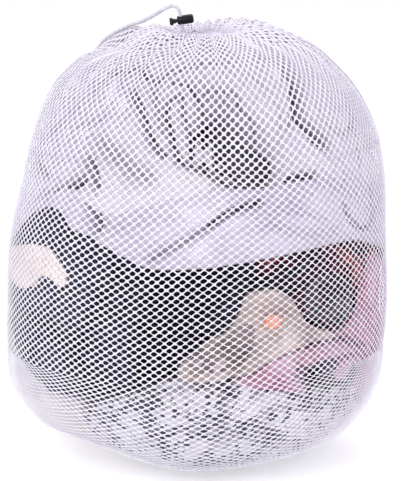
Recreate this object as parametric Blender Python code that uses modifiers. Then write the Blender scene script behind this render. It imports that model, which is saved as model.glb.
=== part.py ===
"""Mesh laundry bag, filled and drawn shut.

Two net panels are joined by two side seams and a bottom seam. A gathered hem at the neck holds a
drawstring ring. Its free loop leaves the hem on the left, passes up through a sprung cord lock, and
hangs down behind the bag. The load of laundry inside holds the net in shape.
Metres, +Z up, origin at the middle of the flat patch that the bag stands on, front towards -Y.
"""

from math import cos, pi, radians, sin

import bmesh
import bpy
from mathutils import Matrix, Vector

# Bag: radius and height of its outer side, from the middle of the base up to the mouth's edge.
BAG_OUTLINE = [
    (0.0000, 0.0000), (0.0640, 0.0000), (0.0980, 0.0090), (0.1320, 0.0240), (0.1610, 0.0470),
    (0.1800, 0.0780), (0.1890, 0.1150), (0.1905, 0.1600), (0.1885, 0.2050), (0.1840, 0.2500),
    (0.1760, 0.2950), (0.1630, 0.3380), (0.1430, 0.3760), (0.1120, 0.4060), (0.0800, 0.4205),
    (0.0550, 0.4250), (0.0380, 0.4225), (0.0280, 0.4165), (0.0240, 0.4100),
]
LEAN = 0.008  # how far the neck has shifted towards +X
LEAN_START = 0.190  # height where the lean begins
LEAN_END = 0.420
NET_THICKNESS = 0.0012
SEAM_WIDTH = 0.008
SEAM_THICKNESS = 0.0022
SEAM_GAP = 0.0003  # clearance between sewn pieces
CORNER_HEIGHT = 0.100  # where a side seam meets the bottom seam
TURN_STEPS = 40

# Neck: gathered hem with the drawstring inside.
NECK = Vector((LEAN, 0.0, 0.4125))
NECK_RADIUS = 0.0135
HEM_TUBE_RADIUS = 0.0062
HEM_WALL = 0.0030
HEM_EXIT_ANGLE = 32  # half of the gap that the drawstring comes out of, degrees
HEM_SEAM_ANGLE = 2  # half of the gap at the right side seam, degrees
TACK_SIZE = (0.0022, 0.0075, 0.0011)

# Drawstring.
CORD_RADIUS = 0.0016
STRAND_OFFSET = 0.0018  # each strand's centre from the loop's middle line
CORD_EASE = 10  # passes that ease its bends
CORD_STRAY = 0.00030  # the most that the tube cuts a bend short between two of its points
CORD_STEP = 0.040

# Cord lock, in its own frame: +X towards the closed end, +Z along the strands.
LOCK_ORIGIN = Vector((-0.0165, 0.0, 0.4306))
LOCK_TILT = radians(-9)
BARREL_LENGTH = 0.0162
BARREL_WIDTH = 0.0130
BARREL_HEIGHT = 0.0090
BARREL_OPEN_END = -0.0038
BORE_WIDTH = 0.0096
BORE_HEIGHT = 0.0054
END_WALL = 0.0020
CORD_HOLE = (0.0040, 0.0074)
PLUNGER_TRAVEL = 0.0035
PLUNGER_GAP = 0.0003
TONGUE_TIP = 0.0039
TONGUE_SLOT = (-0.0019 - PLUNGER_TRAVEL, 0.0019)
BUTTON_START = BARREL_OPEN_END - PLUNGER_TRAVEL - PLUNGER_GAP
BUTTON_LENGTH = 0.0036
SPRING_WIRE_RADIUS = 0.00025
SPRING_RADIUS = 0.0018
SPRING_TURNS = 4

# Load of laundry, one folded garment to each region of the bag: lowest and highest corner.
LOAD_INSET = 0.0028
LOAD_TOP = 0.4020
LOAD_WELL = 0.0420  # radius of the dished top under the neck
FAR = 0.3
LOAD_GAP = 0.0006
DRESS_TOP = 0.118
MIDDLE_TOP = 0.235
SHEET_TOP = 0.300
PINK_TOP = 0.186
TOWEL_SIDE = -0.075
SWEATER_SIDE = 0.048
PINK_SIDE = 0.112
SHIRT_SPLIT = -0.010

COLOURS = {
    "net": (0.93, 0.92, 0.97),
    "binding": (0.90, 0.89, 0.94),
    "cord": (0.88, 0.87, 0.91),
    "black_plastic": (0.012, 0.012, 0.014),
    "steel": (0.62, 0.62, 0.64),
    "white_cotton": (0.88, 0.87, 0.93),
    "grey_jersey": (0.30, 0.30, 0.35),
    "navy_knit": (0.075, 0.085, 0.13),
    "maroon_knit": (0.20, 0.045, 0.060),
    "beige_linen": (0.62, 0.52, 0.42),
    "pink_jersey": (0.80, 0.50, 0.56),
    "printed_cotton": (0.60, 0.60, 0.62),
    "cream_terry": (0.82, 0.78, 0.66),
}


# ---------------------------------------------------------------- helpers

def clear_scene():
    for obj in list(bpy.data.objects):
        bpy.data.objects.remove(obj, do_unlink=True)


def collection(name):
    made = bpy.data.collections.new(name)
    bpy.context.scene.collection.children.link(made)
    return made


def material(name, roughness=0.8, metallic=0.0):
    made = bpy.data.materials.get(name)
    if made is None:
        made = bpy.data.materials.new(name)
        made.use_nodes = True
        shader = made.node_tree.nodes["Principled BSDF"]
        shader.inputs["Base Color"].default_value = (*COLOURS[name], 1.0)
        shader.inputs["Roughness"].default_value = roughness
        shader.inputs["Metallic"].default_value = metallic
    return made


def part(name, mesh, look, smooth=True):
    obj = bpy.data.objects.new(name, mesh)
    PARTS.objects.link(obj)
    mesh.materials.clear()
    mesh.materials.append(look)
    if smooth:
        mesh.shade_smooth()
        mesh.set_sharp_from_angle(angle=radians(40))
    return obj


def guide(name, mesh):
    obj = bpy.data.objects.new(name, mesh)
    CUTTERS.objects.link(obj)
    obj.hide_render = True
    obj.display_type = "WIRE"
    return obj


def smooth_line(points, per_span):
    """Catmull-Rom curve through the points, both ends included."""
    points = [Vector(p) for p in points]
    line = []
    for i in range(len(points) - 1):
        before = points[max(i - 1, 0)]
        start = points[i]
        end = points[i + 1]
        after = points[min(i + 2, len(points) - 1)]
        for k in range(per_span):
            t = k / per_span
            line.append(
                0.5
                * (
                    2 * start
                    + (end - before) * t
                    + (2 * before - 5 * start + 4 * end - after) * t * t
                    + (3 * start - before - 3 * end + after) * t * t * t
                )
            )
    line.append(points[-1])
    return line


def inset(outline, depth):
    """The outline moved inward, square to itself."""
    moved = []
    for i, point in enumerate(outline):
        along = outline[min(i + 1, len(outline) - 1)] - outline[max(i - 1, 0)]
        along.normalize()
        moved.append(Vector((point[0] - along[1] * depth, point[1] + along[0] * depth)))
    moved[0][0] = 0.0
    return moved


def line_mesh(name, points, closed=False):
    mesh = bpy.data.meshes.new(name)
    last = len(points)
    edges = [(i, i + 1) for i in range(last - 1)]
    if closed:
        edges.append((last - 1, 0))
    mesh.from_pydata([tuple(p) for p in points], edges, [])
    return mesh


def box_mesh(name, low, high):
    """A box between two corners, made from a unit cube."""
    low = Vector(low)
    high = Vector(high)
    work = bmesh.new()
    bmesh.ops.create_cube(work, size=1.0)
    bmesh.ops.scale(work, vec=high - low, verts=work.verts)
    bmesh.ops.translate(work, vec=(low + high) / 2, verts=work.verts)
    mesh = bpy.data.meshes.new(name)
    work.to_mesh(mesh)
    work.free()
    return mesh


def oval_mesh(name, start, end, width, height, bevel=0.0, segments=20):
    """A rod of oval section along X, its two end rims rounded."""
    work = bmesh.new()
    bmesh.ops.create_cone(
        work, cap_ends=True, segments=segments, radius1=0.5, radius2=0.5, depth=end - start
    )
    bmesh.ops.rotate(work, cent=(0, 0, 0), matrix=Matrix.Rotation(pi / 2, 3, "Y"), verts=work.verts)
    bmesh.ops.scale(work, vec=(1, width, height), verts=work.verts)
    bmesh.ops.translate(work, vec=((start + end) / 2, 0, 0), verts=work.verts)
    if bevel:
        rims = [e for e in work.edges if abs(e.verts[0].co.x - e.verts[1].co.x) < 1e-6]
        bmesh.ops.bevel(
            work, geom=rims, offset=bevel, segments=3, profile=0.5, affect="EDGES",
            clamp_overlap=True,
        )
    mesh = bpy.data.meshes.new(name)
    work.to_mesh(mesh)
    work.free()
    return mesh


def screw(obj, angle=2 * pi, steps=TURN_STEPS):
    turn = obj.modifiers.new("Turn", "SCREW")
    turn.axis = "Z"
    turn.angle = angle
    turn.steps = steps
    turn.render_steps = steps
    turn.use_merge_vertices = True
    turn.merge_threshold = 0.00001
    turn.use_normal_calculate = True
    return turn


def solidify(obj, thickness):
    wall = obj.modifiers.new("Wall", "SOLIDIFY")
    wall.thickness = thickness
    wall.offset = -1.0
    wall.use_even_offset = True
    return wall


def boolean(obj, cutter, operation):
    cut = obj.modifiers.new(operation.title(), "BOOLEAN")
    cut.operation = operation
    cut.solver = "EXACT"
    cut.object = cutter
    return cut


def settle(obj):
    """Applies the object's modifiers to a mesh of its own."""
    view = bpy.context.evaluated_depsgraph_get()
    mesh = bpy.data.meshes.new_from_object(obj.evaluated_get(view))
    obj.modifiers.clear()
    obj.data = mesh
    return obj


def lean_over(obj):
    """Shifts the upper part of a soft piece towards +X, as the whole bag leans."""
    settle(obj)
    for vertex in obj.data.vertices:
        t = (vertex.co.z - LEAN_START) / (LEAN_END - LEAN_START)
        t = min(max(t, 0.0), 1.0)
        vertex.co.x += LEAN * t * t * (3 - 2 * t)
    return obj


# ---------------------------------------------------------------- bag

def side_profile():
    """The bag's outer side in the XZ plane, top to bottom."""
    flat = [Vector((r, z)) for r, z in BAG_OUTLINE]
    return [Vector((p[0], 0, p[1])) for p in reversed(flat)]


def shell_slice(name, thickness, low, high, look):
    """The part of the bag's thin shell that lies in a box."""
    obj = part(name, line_mesh(name, side_profile()), look, smooth=False)
    screw(obj)
    solidify(obj, thickness)
    window = guide(name + "_window", box_mesh(name + "_window", low, high))
    boolean(obj, window, "INTERSECT")
    return lean_over(obj)


def net_panels():
    edge = SEAM_WIDTH / 2 + SEAM_GAP
    net = material("net", 0.6)
    shell_slice("net_front_panel", NET_THICKNESS, (-FAR, -FAR, -FAR), (FAR, -edge, 2 * FAR), net)
    shell_slice("net_back_panel", NET_THICKNESS, (-FAR, edge, -FAR), (FAR, FAR, 2 * FAR), net)


def seams():
    half = SEAM_WIDTH / 2
    tape = material("binding", 0.7)
    top = CORNER_HEIGHT + SEAM_GAP
    sides = {
        "side_seam_left": ((-FAR, -half, top), (0, half, FAR * 2)),
        "side_seam_right": ((0, -half, top), (FAR, half, FAR * 2)),
        "bottom_seam": ((-FAR, -half, -FAR), (FAR, half, CORNER_HEIGHT)),
    }
    for name, (low, high) in sides.items():
        shell_slice(name, SEAM_THICKNESS, low, high, tape)


# ---------------------------------------------------------------- neck

def ring_profile(radius, sides):
    """A circle in the XZ plane, its centre on the drawstring's ring."""
    return [
        Vector((NECK_RADIUS + radius * cos(a), 0, radius * sin(a)))
        for a in (-2 * pi * i / sides for i in range(sides))
    ]


def hem_channels():
    """One half of the gathered hem for each panel, with the exit gap on the left."""
    sweep = radians(180 - HEM_EXIT_ANGLE - HEM_SEAM_ANGLE)
    first = {
        "hem_channel_front": radians(180 + HEM_EXIT_ANGLE),
        "hem_channel_back": radians(HEM_SEAM_ANGLE),
    }
    for name, start in first.items():
        circle = ring_profile(HEM_TUBE_RADIUS, 10)
        obj = part(name, line_mesh(name, circle, closed=True), material("binding"), smooth=False)
        screw(obj, sweep, 11)
        solidify(obj, HEM_WALL)
        obj.location = NECK
        obj.rotation_euler.z = start


def exit_tacks():
    """Dense stitching that closes each end of the hem beside the drawstring's exit."""
    for name, side in (("exit_tack_front", -1), ("exit_tack_back", 1)):
        low = Vector((-TACK_SIZE[0] / 2, -TACK_SIZE[1] / 2, 0))
        high = Vector((TACK_SIZE[0] / 2, TACK_SIZE[1] / 2, TACK_SIZE[2]))
        obj = part(name, box_mesh(name, low, high), material("binding"), smooth=False)
        edge = obj.modifiers.new("Edge", "BEVEL")
        edge.width = 0.0003
        edge.segments = 2
        angle = radians(180 - side * (HEM_EXIT_ANGLE + 7))
        lift = HEM_TUBE_RADIUS + SEAM_GAP
        obj.location = NECK + Vector((NECK_RADIUS * cos(angle), NECK_RADIUS * sin(angle), lift))
        obj.rotation_euler.z = angle + pi / 2


# ---------------------------------------------------------------- drawstring

def lock_frame():
    return Matrix.Translation(LOCK_ORIGIN) @ Matrix.Rotation(LOCK_TILT, 4, "Y")


def tube(name, points, radius, look, resolution=2):
    curve = bpy.data.curves.new(name, "CURVE")
    curve.dimensions = "3D"
    curve.bevel_depth = radius
    curve.bevel_resolution = resolution
    curve.use_fill_caps = True
    spline = curve.splines.new("POLY")
    spline.points.add(len(points) - 1)
    for target, point in zip(spline.points, points):
        target.co = (*point, 1.0)
    curve.materials.append(look)
    obj = bpy.data.objects.new(name, curve)
    PARTS.objects.link(obj)
    return obj


def drawstring_ring():
    """The drawstring's hidden stretch, inside the hem, from one side of the exit to the other."""
    gap = SEAM_GAP / NECK_RADIUS
    start = radians(180 + HEM_EXIT_ANGLE) + gap
    sweep = 2 * pi - 2 * radians(HEM_EXIT_ANGLE) - 2 * gap
    steps = 26
    points = []
    for i in range(steps + 1):
        angle = start + sweep * i / steps
        points.append(NECK + NECK_RADIUS * Vector((cos(angle), sin(angle), 0)))
    tube("drawstring_ring", points, CORD_RADIUS, material("cord"))


# Each strand from the hem's exit to the lock: distances from the neck's middle line.
EXIT_ROUTE = [(-0.0179, 0.0026, 0.4140), (-0.0213, 0.0019, 0.4181)]
# The strands' straight stretch through the lock, and the bend above it, in the lock's frame.
LOCK_ROUTE = [
    (0, -0.0060), (0, 0.0), (0, 0.0050), (0, 0.0086), (-0.0009, 0.0119), (-0.0033, 0.0143),
    (-0.0066, 0.0152),
]
# The doubled cord from the lock over the shoulder, down behind the left side and along the floor:
# middle line, half the distance between the strands, and the direction across them in degrees.
LOOP_ROUTE = [
    (-0.0330, 0.0026, 0.4412, 0.0018, 80), (-0.0400, 0.0064, 0.4366, 0.0018, 70),
    (-0.0490, 0.0125, 0.4312, 0.0018, 64), (-0.0570, 0.0190, 0.4270, 0.0018, 62),
    (-0.0664, 0.0300, 0.4233, 0.0018, 60), (-0.0779, 0.0419, 0.4172, 0.0018, 60),
    (-0.0914, 0.0551, 0.4078, 0.0018, 58), (-0.1027, 0.0676, 0.3945, 0.0019, 56),
    (-0.1131, 0.0812, 0.3772, 0.0019, 54), (-0.1201, 0.0919, 0.3568, 0.0020, 52),
    (-0.1256, 0.1008, 0.3380, 0.0020, 51), (-0.1314, 0.1098, 0.3100, 0.0021, 51),
    (-0.1366, 0.1170, 0.2790, 0.0022, 50), (-0.1414, 0.1219, 0.2450, 0.0023, 50),
    (-0.1446, 0.1258, 0.2050, 0.0024, 49), (-0.1462, 0.1272, 0.1640, 0.0025, 50),
    (-0.1464, 0.1274, 0.1240, 0.0026, 56), (-0.1462, 0.1276, 0.0840, 0.0027, 72),
    (-0.1460, 0.1276, 0.0480, 0.0028, 96), (-0.1452, 0.1280, 0.0230, 0.0028, 116),
    (-0.1408, 0.1304, 0.0082, 0.0028, 121), (-0.1310, 0.1360, 0.0024, 0.0028, 121),
    (-0.1180, 0.1436, 0.0020, 0.0034, 120), (-0.1060, 0.1506, 0.0020, 0.0056, 120),
    (-0.0980, 0.1552, 0.0020, 0.0070, 120),
]
# The turn at the loop's end: ahead of and beside the last point.
TURN_ROUTE = [(0.0058, -0.0048), (0.0078, 0.0), (0.0058, 0.0048)]


def strand_route(side):
    """One strand from the hem's exit up through the lock: side is -1 in front, 1 behind."""
    angle = radians(180 - side * HEM_EXIT_ANGLE)
    out = NECK + NECK_RADIUS * Vector((cos(angle), sin(angle), 0))
    along = Vector((sin(angle), -cos(angle), 0)) * -side
    points = [out, out + along * 0.0030 + Vector((-0.0003, 0, 0.0002))]
    points += [Vector((NECK.x + x, side * y, z)) for x, y, z in EXIT_ROUTE]
    points += [lock_frame() @ Vector((x, side * STRAND_OFFSET, z)) for x, z in LOCK_ROUTE]
    return points


def across(degrees):
    return Vector((cos(radians(degrees)), sin(radians(degrees)), 0))


def loop_side(side):
    """One strand of the doubled stretch."""
    return [Vector((x, y, z)) + side * half * across(deg) for x, y, z, half, deg in LOOP_ROUTE]


def drawstring_route():
    """The whole free cord: out of the hem, up through the lock, round its loop and back."""
    last = LOOP_ROUTE[-1]
    end = Vector(last[:3])
    beside = across(last[4])
    ahead = across(last[4] - 90)
    turn = [end + ahead * x + beside * y for x, y in TURN_ROUTE]
    front = strand_route(-1) + loop_side(-1)
    back = strand_route(1) + loop_side(1)
    return front + turn + list(reversed(back))


def even_steps(line, step):
    """Points at equal steps along a line, ends included."""
    lengths = [0.0]
    for a, b in zip(line, line[1:]):
        lengths.append(lengths[-1] + (b - a).length)
    count = round(lengths[-1] / step)
    spaced = [line[0]]
    j = 0
    for i in range(1, count):
        want = lengths[-1] * i / count
        while lengths[j + 1] < want:
            j += 1
        t = (want - lengths[j]) / (lengths[j + 1] - lengths[j])
        spaced.append(line[j].lerp(line[j + 1], t))
    spaced.append(line[-1])
    return spaced


def relax(line, passes):
    """Eases every bend a little. The two ends and the points beside them stay."""
    for _ in range(passes):
        middle = [(a + 2 * b + c) / 4 for a, b, c in zip(line[1:-3], line[2:-2], line[3:-1])]
        line = line[:2] + middle + line[-2:]
    return line


def drawstring_line():
    """The free cord's centreline, in even steps of a millimetre."""
    return relax(even_steps(smooth_line(drawstring_route(), 8), 0.001), CORD_EASE)


def thin(line, stray, longest):
    """Drops points where the line is nearly straight, so that bends keep the most."""
    kept = [line[0]]
    start = 0
    for i in range(2, len(line)):
        run = line[i] - line[start]
        way = run.normalized()
        spans = [p - line[start] for p in line[start + 1:i]]
        off = max((s - way * s.dot(way)).length for s in spans)
        if off > stray or run.length > longest:
            kept.append(line[i - 1])
            start = i - 1
    kept.append(line[-1])
    return kept


def drawstring_loop():
    line = thin(drawstring_line(), CORD_STRAY, CORD_STEP)
    tube("drawstring_loop", line, CORD_RADIUS, material("cord"))


# ---------------------------------------------------------------- cord lock

def lock_piece(name, mesh, look):
    obj = part(name, mesh, look)
    obj.parent = LOCK
    return obj


def lock_guide(name, mesh):
    obj = guide(name, mesh)
    obj.parent = LOCK
    return obj


def cord_lock_barrel():
    end = BARREL_OPEN_END + BARREL_LENGTH
    body = oval_mesh("cord_lock_barrel", BARREL_OPEN_END, end, BARREL_WIDTH, BARREL_HEIGHT, 0.0022)
    obj = lock_piece("cord_lock_barrel", body, material("black_plastic", 0.35))
    bore = oval_mesh("barrel_bore", BARREL_OPEN_END - 0.002, end - END_WALL, BORE_WIDTH, BORE_HEIGHT)
    boolean(obj, lock_guide("barrel_bore", bore), "DIFFERENCE")
    x = CORD_HOLE[0] / 2
    y = CORD_HOLE[1] / 2
    hole = box_mesh("barrel_cord_hole", (-x, -y, -BARREL_HEIGHT), (x, y, BARREL_HEIGHT))
    boolean(obj, lock_guide("barrel_cord_hole", hole), "DIFFERENCE")


def cord_lock_plunger():
    width = BORE_WIDTH - 2 * PLUNGER_GAP
    height = BORE_HEIGHT - 2 * PLUNGER_GAP
    tongue = oval_mesh("cord_lock_plunger", BUTTON_START - 0.001, TONGUE_TIP, width, height, 0.0004)
    obj = lock_piece("cord_lock_plunger", tongue, material("black_plastic", 0.35))
    button_end = BUTTON_START - BUTTON_LENGTH
    button = oval_mesh("plunger_button", button_end, BUTTON_START, 0.0116, 0.0076, 0.0014)
    boolean(obj, lock_guide("plunger_button", button), "UNION")
    y = CORD_HOLE[1] / 2
    slot_low = (TONGUE_SLOT[0], -y, -BARREL_HEIGHT)
    slot_high = (TONGUE_SLOT[1], y, BARREL_HEIGHT)
    slot = box_mesh("plunger_slot", slot_low, slot_high)
    boolean(obj, lock_guide("plunger_slot", slot), "DIFFERENCE")


def cord_lock_spring():
    """A compression spring between the tongue and the barrel's closed end."""
    start = TONGUE_TIP + PLUNGER_GAP + SPRING_WIRE_RADIUS
    end = BARREL_OPEN_END + BARREL_LENGTH - END_WALL - PLUNGER_GAP - SPRING_WIRE_RADIUS
    per_turn = 10
    count = SPRING_TURNS * per_turn
    points = []
    for i in range(count + 1):
        angle = 2 * pi * i / per_turn
        x = start + (end - start) * i / count
        points.append(Vector((x, SPRING_RADIUS * cos(angle), SPRING_RADIUS * sin(angle))))
    spring = tube("cord_lock_spring", points, SPRING_WIRE_RADIUS, material("steel", 0.3, 1.0), 1)
    spring.parent = LOCK


# ---------------------------------------------------------------- load

def load_profile():
    """The closed half outline of everything inside the bag, top to bottom."""
    flat = [Vector((r, z)) for r, z in BAG_OUTLINE]
    inner = [p for p in inset(flat, LOAD_INSET) if p[1] < 0.2 or p[0] > LOAD_WELL]
    inner += [Vector((LOAD_WELL, LOAD_TOP)), Vector((0.0, LOAD_TOP))]
    return [Vector((p[0], 0, p[1])) for p in reversed(inner)]


def garment(name, low, high, look):
    obj = part(name, line_mesh(name, load_profile()), look, smooth=False)
    screw(obj)
    gap = Vector((LOAD_GAP, LOAD_GAP, LOAD_GAP)) / 2
    low = Vector(low) + gap
    high = Vector(high) - gap
    region = guide(name + "_region", box_mesh(name + "_region", low, high))
    boolean(obj, region, "INTERSECT")
    lean_over(obj)


def load():
    cotton = material("white_cotton")
    garment("printed_dress", (TOWEL_SIDE, -FAR, -FAR), (FAR, FAR, DRESS_TOP), material("printed_cotton"))
    garment("cream_towel", (-FAR, -FAR, -FAR), (TOWEL_SIDE, FAR, DRESS_TOP), material("cream_terry"))
    garment(
        "navy_sweater", (-FAR, -FAR, DRESS_TOP), (SWEATER_SIDE, FAR, MIDDLE_TOP), material("navy_knit")
    )
    garment(
        "maroon_cardigan", (SWEATER_SIDE, -FAR, PINK_TOP), (FAR, FAR, MIDDLE_TOP),
        material("maroon_knit"),
    )
    garment(
        "beige_blouse", (SWEATER_SIDE, -FAR, DRESS_TOP), (PINK_SIDE, FAR, PINK_TOP),
        material("beige_linen"),
    )
    garment("pink_top", (PINK_SIDE, -FAR, DRESS_TOP), (FAR, FAR, PINK_TOP), material("pink_jersey"))
    garment("white_pillowcase", (-FAR, -FAR, MIDDLE_TOP), (FAR, FAR, SHEET_TOP), cotton)
    garment("rolled_white_shirt", (-FAR, -FAR, SHEET_TOP), (SHIRT_SPLIT, 0, LEAN_END), cotton)
    garment("grey_vest", (SHIRT_SPLIT, -FAR, SHEET_TOP), (FAR, 0, LEAN_END), material("grey_jersey"))
    garment("white_shirt", (-FAR, 0, SHEET_TOP), (FAR, FAR, LEAN_END), cotton)


clear_scene()
PARTS = collection("mesh_laundry_bag")
CUTTERS = collection("cutters")
LOCK = bpy.data.objects.new("cord_lock", None)
PARTS.objects.link(LOCK)
LOCK.matrix_world = lock_frame()

net_panels()
seams()
hem_channels()
exit_tacks()
drawstring_ring()
drawstring_loop()
cord_lock_barrel()
cord_lock_plunger()
cord_lock_spring()
load()
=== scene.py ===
"""Looks of the filled mesh laundry bag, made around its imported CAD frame.

The net is a real punched lattice, laid over one smooth surface of the stuffed bag. The garments are
closed crumpled lumps behind it, and the drawstring follows the same route as its CAD tube.
Metres, +Z up, front towards -Y. Azimuths run from the front towards +X.
"""

from math import cos, pi, radians, sin

import bmesh
import bpy
import numpy as np
from mathutils import Matrix, Vector


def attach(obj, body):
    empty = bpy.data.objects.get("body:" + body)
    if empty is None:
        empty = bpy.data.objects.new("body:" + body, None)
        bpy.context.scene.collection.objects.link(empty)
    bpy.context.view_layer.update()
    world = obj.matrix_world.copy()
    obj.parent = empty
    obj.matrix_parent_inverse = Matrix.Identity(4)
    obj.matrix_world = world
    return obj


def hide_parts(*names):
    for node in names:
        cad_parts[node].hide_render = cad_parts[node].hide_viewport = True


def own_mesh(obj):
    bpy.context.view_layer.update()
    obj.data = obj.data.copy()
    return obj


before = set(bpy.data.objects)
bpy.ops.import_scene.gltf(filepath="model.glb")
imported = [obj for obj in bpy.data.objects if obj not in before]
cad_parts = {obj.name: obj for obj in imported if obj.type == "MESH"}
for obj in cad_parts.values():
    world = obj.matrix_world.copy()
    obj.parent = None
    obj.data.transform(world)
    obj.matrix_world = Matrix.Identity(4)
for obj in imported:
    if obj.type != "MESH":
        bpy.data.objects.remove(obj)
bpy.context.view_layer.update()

RNG = np.random.default_rng(11)

# ---------------------------------------------------------------- sizes shared with the CAD part

BAG_OUTLINE = [
    (0.0000, 0.0000), (0.0640, 0.0000), (0.0980, 0.0090), (0.1320, 0.0240), (0.1610, 0.0470),
    (0.1800, 0.0780), (0.1890, 0.1150), (0.1905, 0.1600), (0.1885, 0.2050), (0.1840, 0.2500),
    (0.1760, 0.2950), (0.1630, 0.3380), (0.1430, 0.3760), (0.1120, 0.4060), (0.0800, 0.4205),
    (0.0550, 0.4250), (0.0380, 0.4225), (0.0280, 0.4165), (0.0215, 0.4105),
]
LEAN = 0.008
LEAN_START = 0.190
LEAN_END = 0.420
BELLY_HEIGHT = 0.115  # below it the flat panels turn in towards the bottom seam
CORNER_HEIGHT = 0.100
NECK = Vector((LEAN, 0.0, 0.4125))
NECK_RADIUS = 0.0135
HEM_TUBE_RADIUS = 0.0062
HEM_EXIT_ANGLE = 32
HEM_SEAM_ANGLE = 2
SEAM_GAP = 0.0003
TACK_SIZE = (0.0022, 0.0075, 0.0011)

CORD_RADIUS = 0.0016
STRAND_OFFSET = 0.0018
CORD_EASE = 10
LOCK_ORIGIN = Vector((-0.0165, 0.0, 0.4306))
LOCK_TILT = radians(-9)
BARREL_LENGTH = 0.0162
BARREL_WIDTH = 0.0130
BARREL_HEIGHT = 0.0090
BARREL_OPEN_END = -0.0038
BORE_WIDTH = 0.0096
BORE_HEIGHT = 0.0054
END_WALL = 0.0020
CORD_HOLE = (0.0040, 0.0074)
PLUNGER_TRAVEL = 0.0035
PLUNGER_GAP = 0.0003
TONGUE_TIP = 0.0039
SPRING_WIRE_RADIUS = 0.00025
SPRING_RADIUS = 0.0018
SPRING_TURNS = 4
TONGUE_SLOT = (-0.0019 - PLUNGER_TRAVEL, 0.0019)
BUTTON_START = BARREL_OPEN_END - PLUNGER_TRAVEL - PLUNGER_GAP
BUTTON_LENGTH = 0.0036

LOOP_ROUTE = [
    (-0.0330, 0.0026, 0.4412, 0.0018, 80), (-0.0400, 0.0064, 0.4366, 0.0018, 70),
    (-0.0490, 0.0125, 0.4312, 0.0018, 64), (-0.0570, 0.0190, 0.4270, 0.0018, 62),
    (-0.0664, 0.0300, 0.4233, 0.0018, 60), (-0.0779, 0.0419, 0.4172, 0.0018, 60),
    (-0.0914, 0.0551, 0.4078, 0.0018, 58), (-0.1027, 0.0676, 0.3945, 0.0019, 56),
    (-0.1131, 0.0812, 0.3772, 0.0019, 54), (-0.1201, 0.0919, 0.3568, 0.0020, 52),
    (-0.1256, 0.1008, 0.3380, 0.0020, 51), (-0.1314, 0.1098, 0.3100, 0.0021, 51),
    (-0.1366, 0.1170, 0.2790, 0.0022, 50), (-0.1414, 0.1219, 0.2450, 0.0023, 50),
    (-0.1446, 0.1258, 0.2050, 0.0024, 49), (-0.1462, 0.1272, 0.1640, 0.0025, 50),
    (-0.1464, 0.1274, 0.1240, 0.0026, 56), (-0.1462, 0.1276, 0.0840, 0.0027, 72),
    (-0.1460, 0.1276, 0.0480, 0.0028, 96), (-0.1452, 0.1280, 0.0230, 0.0028, 116),
    (-0.1408, 0.1304, 0.0082, 0.0028, 121), (-0.1310, 0.1360, 0.0024, 0.0028, 121),
    (-0.1180, 0.1436, 0.0020, 0.0034, 120), (-0.1060, 0.1506, 0.0020, 0.0056, 120),
    (-0.0980, 0.1552, 0.0020, 0.0070, 120),
]

# ---------------------------------------------------------------- small helpers


def smoothstep(t):
    t = np.clip(t, 0.0, 1.0)
    return t * t * (3 - 2 * t)


def smooth_line(points, per_span):
    """Catmull-Rom curve through the points, both ends included."""
    points = [Vector(p) for p in points]
    line = []
    for i in range(len(points) - 1):
        before = points[max(i - 1, 0)]
        start = points[i]
        end = points[i + 1]
        after = points[min(i + 2, len(points) - 1)]
        bend = 2 * before - 5 * start + 4 * end - after
        twist = 3 * start - before - 3 * end + after
        for k in range(per_span):
            t = k / per_span
            line.append(0.5 * (2 * start + (end - before) * t + bend * t * t + twist * t * t * t))
    line.append(points[-1])
    return line


def mesh_piece(name, points, faces, look, uv=None, gap=None):
    """A new object from numpy points and an array of quads (or a list of such arrays).
    gap says, from 0 to 1, how much shade is painted into each point's colour, deep between two garments."""
    mesh = bpy.data.meshes.new(name)
    groups = [faces] if isinstance(faces, np.ndarray) else list(faces)
    groups = [np.asarray(g, np.int32) for g in groups if len(g)]
    sizes = np.concatenate([np.full(len(g), g.shape[1], np.int32) for g in groups])
    corners = np.concatenate([g.ravel() for g in groups]).astype(np.int32)
    mesh.vertices.add(len(points))
    mesh.vertices.foreach_set("co", np.asarray(points, np.float32).ravel())
    mesh.loops.add(len(corners))
    mesh.loops.foreach_set("vertex_index", corners)
    mesh.polygons.add(len(sizes))
    starts = np.concatenate([[0], np.cumsum(sizes)[:-1]]).astype(np.int32)
    mesh.polygons.foreach_set("loop_start", starts)
    mesh.update(calc_edges=True)
    if uv is not None:
        layer = mesh.uv_layers.new(name="cloth")
        layer.data.foreach_set("uv", np.asarray(uv, np.float32)[corners].ravel())
    if gap is not None:
        mesh.attributes.new("gap", "FLOAT", "POINT").data.foreach_set("value", np.asarray(gap, np.float32))
    mesh.validate()
    mesh.shade_smooth()
    mesh.materials.append(look)
    obj = bpy.data.objects.new(name, mesh)
    bpy.context.scene.collection.objects.link(obj)
    return obj


def on_body(obj, body, slot, *nodes):
    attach(obj, body)
    if nodes:
        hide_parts(*nodes)
    return obj


# ---------------------------------------------------------------- the bag's surface


PROFILE_SAMPLES = 900


def profile_arrays():
    """Radius, height, arc length and outward normal along the bag's side, base to neck."""
    line = np.array([tuple(p) for p in smooth_line(BAG_OUTLINE, 24)])
    step = np.linalg.norm(np.diff(line, axis=0), axis=1)
    arc = np.concatenate([[0.0], np.cumsum(step)])
    even = np.linspace(0.0, arc[-1], PROFILE_SAMPLES)
    radius = np.interp(even, arc, line[:, 0])
    height = np.interp(even, arc, line[:, 1])
    along_r = np.gradient(radius)
    along_z = np.gradient(height)
    size = np.hypot(along_r, along_z)
    return even, radius, height, along_z / size, -along_r / size


ARC, RADIUS, HEIGHT, NORMAL_R, NORMAL_Z = profile_arrays()
CREST = int(np.argmax(HEIGHT))
FLOOR_EDGE = 80  # first sample that counts as above the flat base


def arc_at(height):
    """Arc length where the side first reaches a height."""
    return np.interp(height, HEIGHT[FLOOR_EDGE:CREST], ARC[FLOOR_EDGE:CREST])


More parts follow.
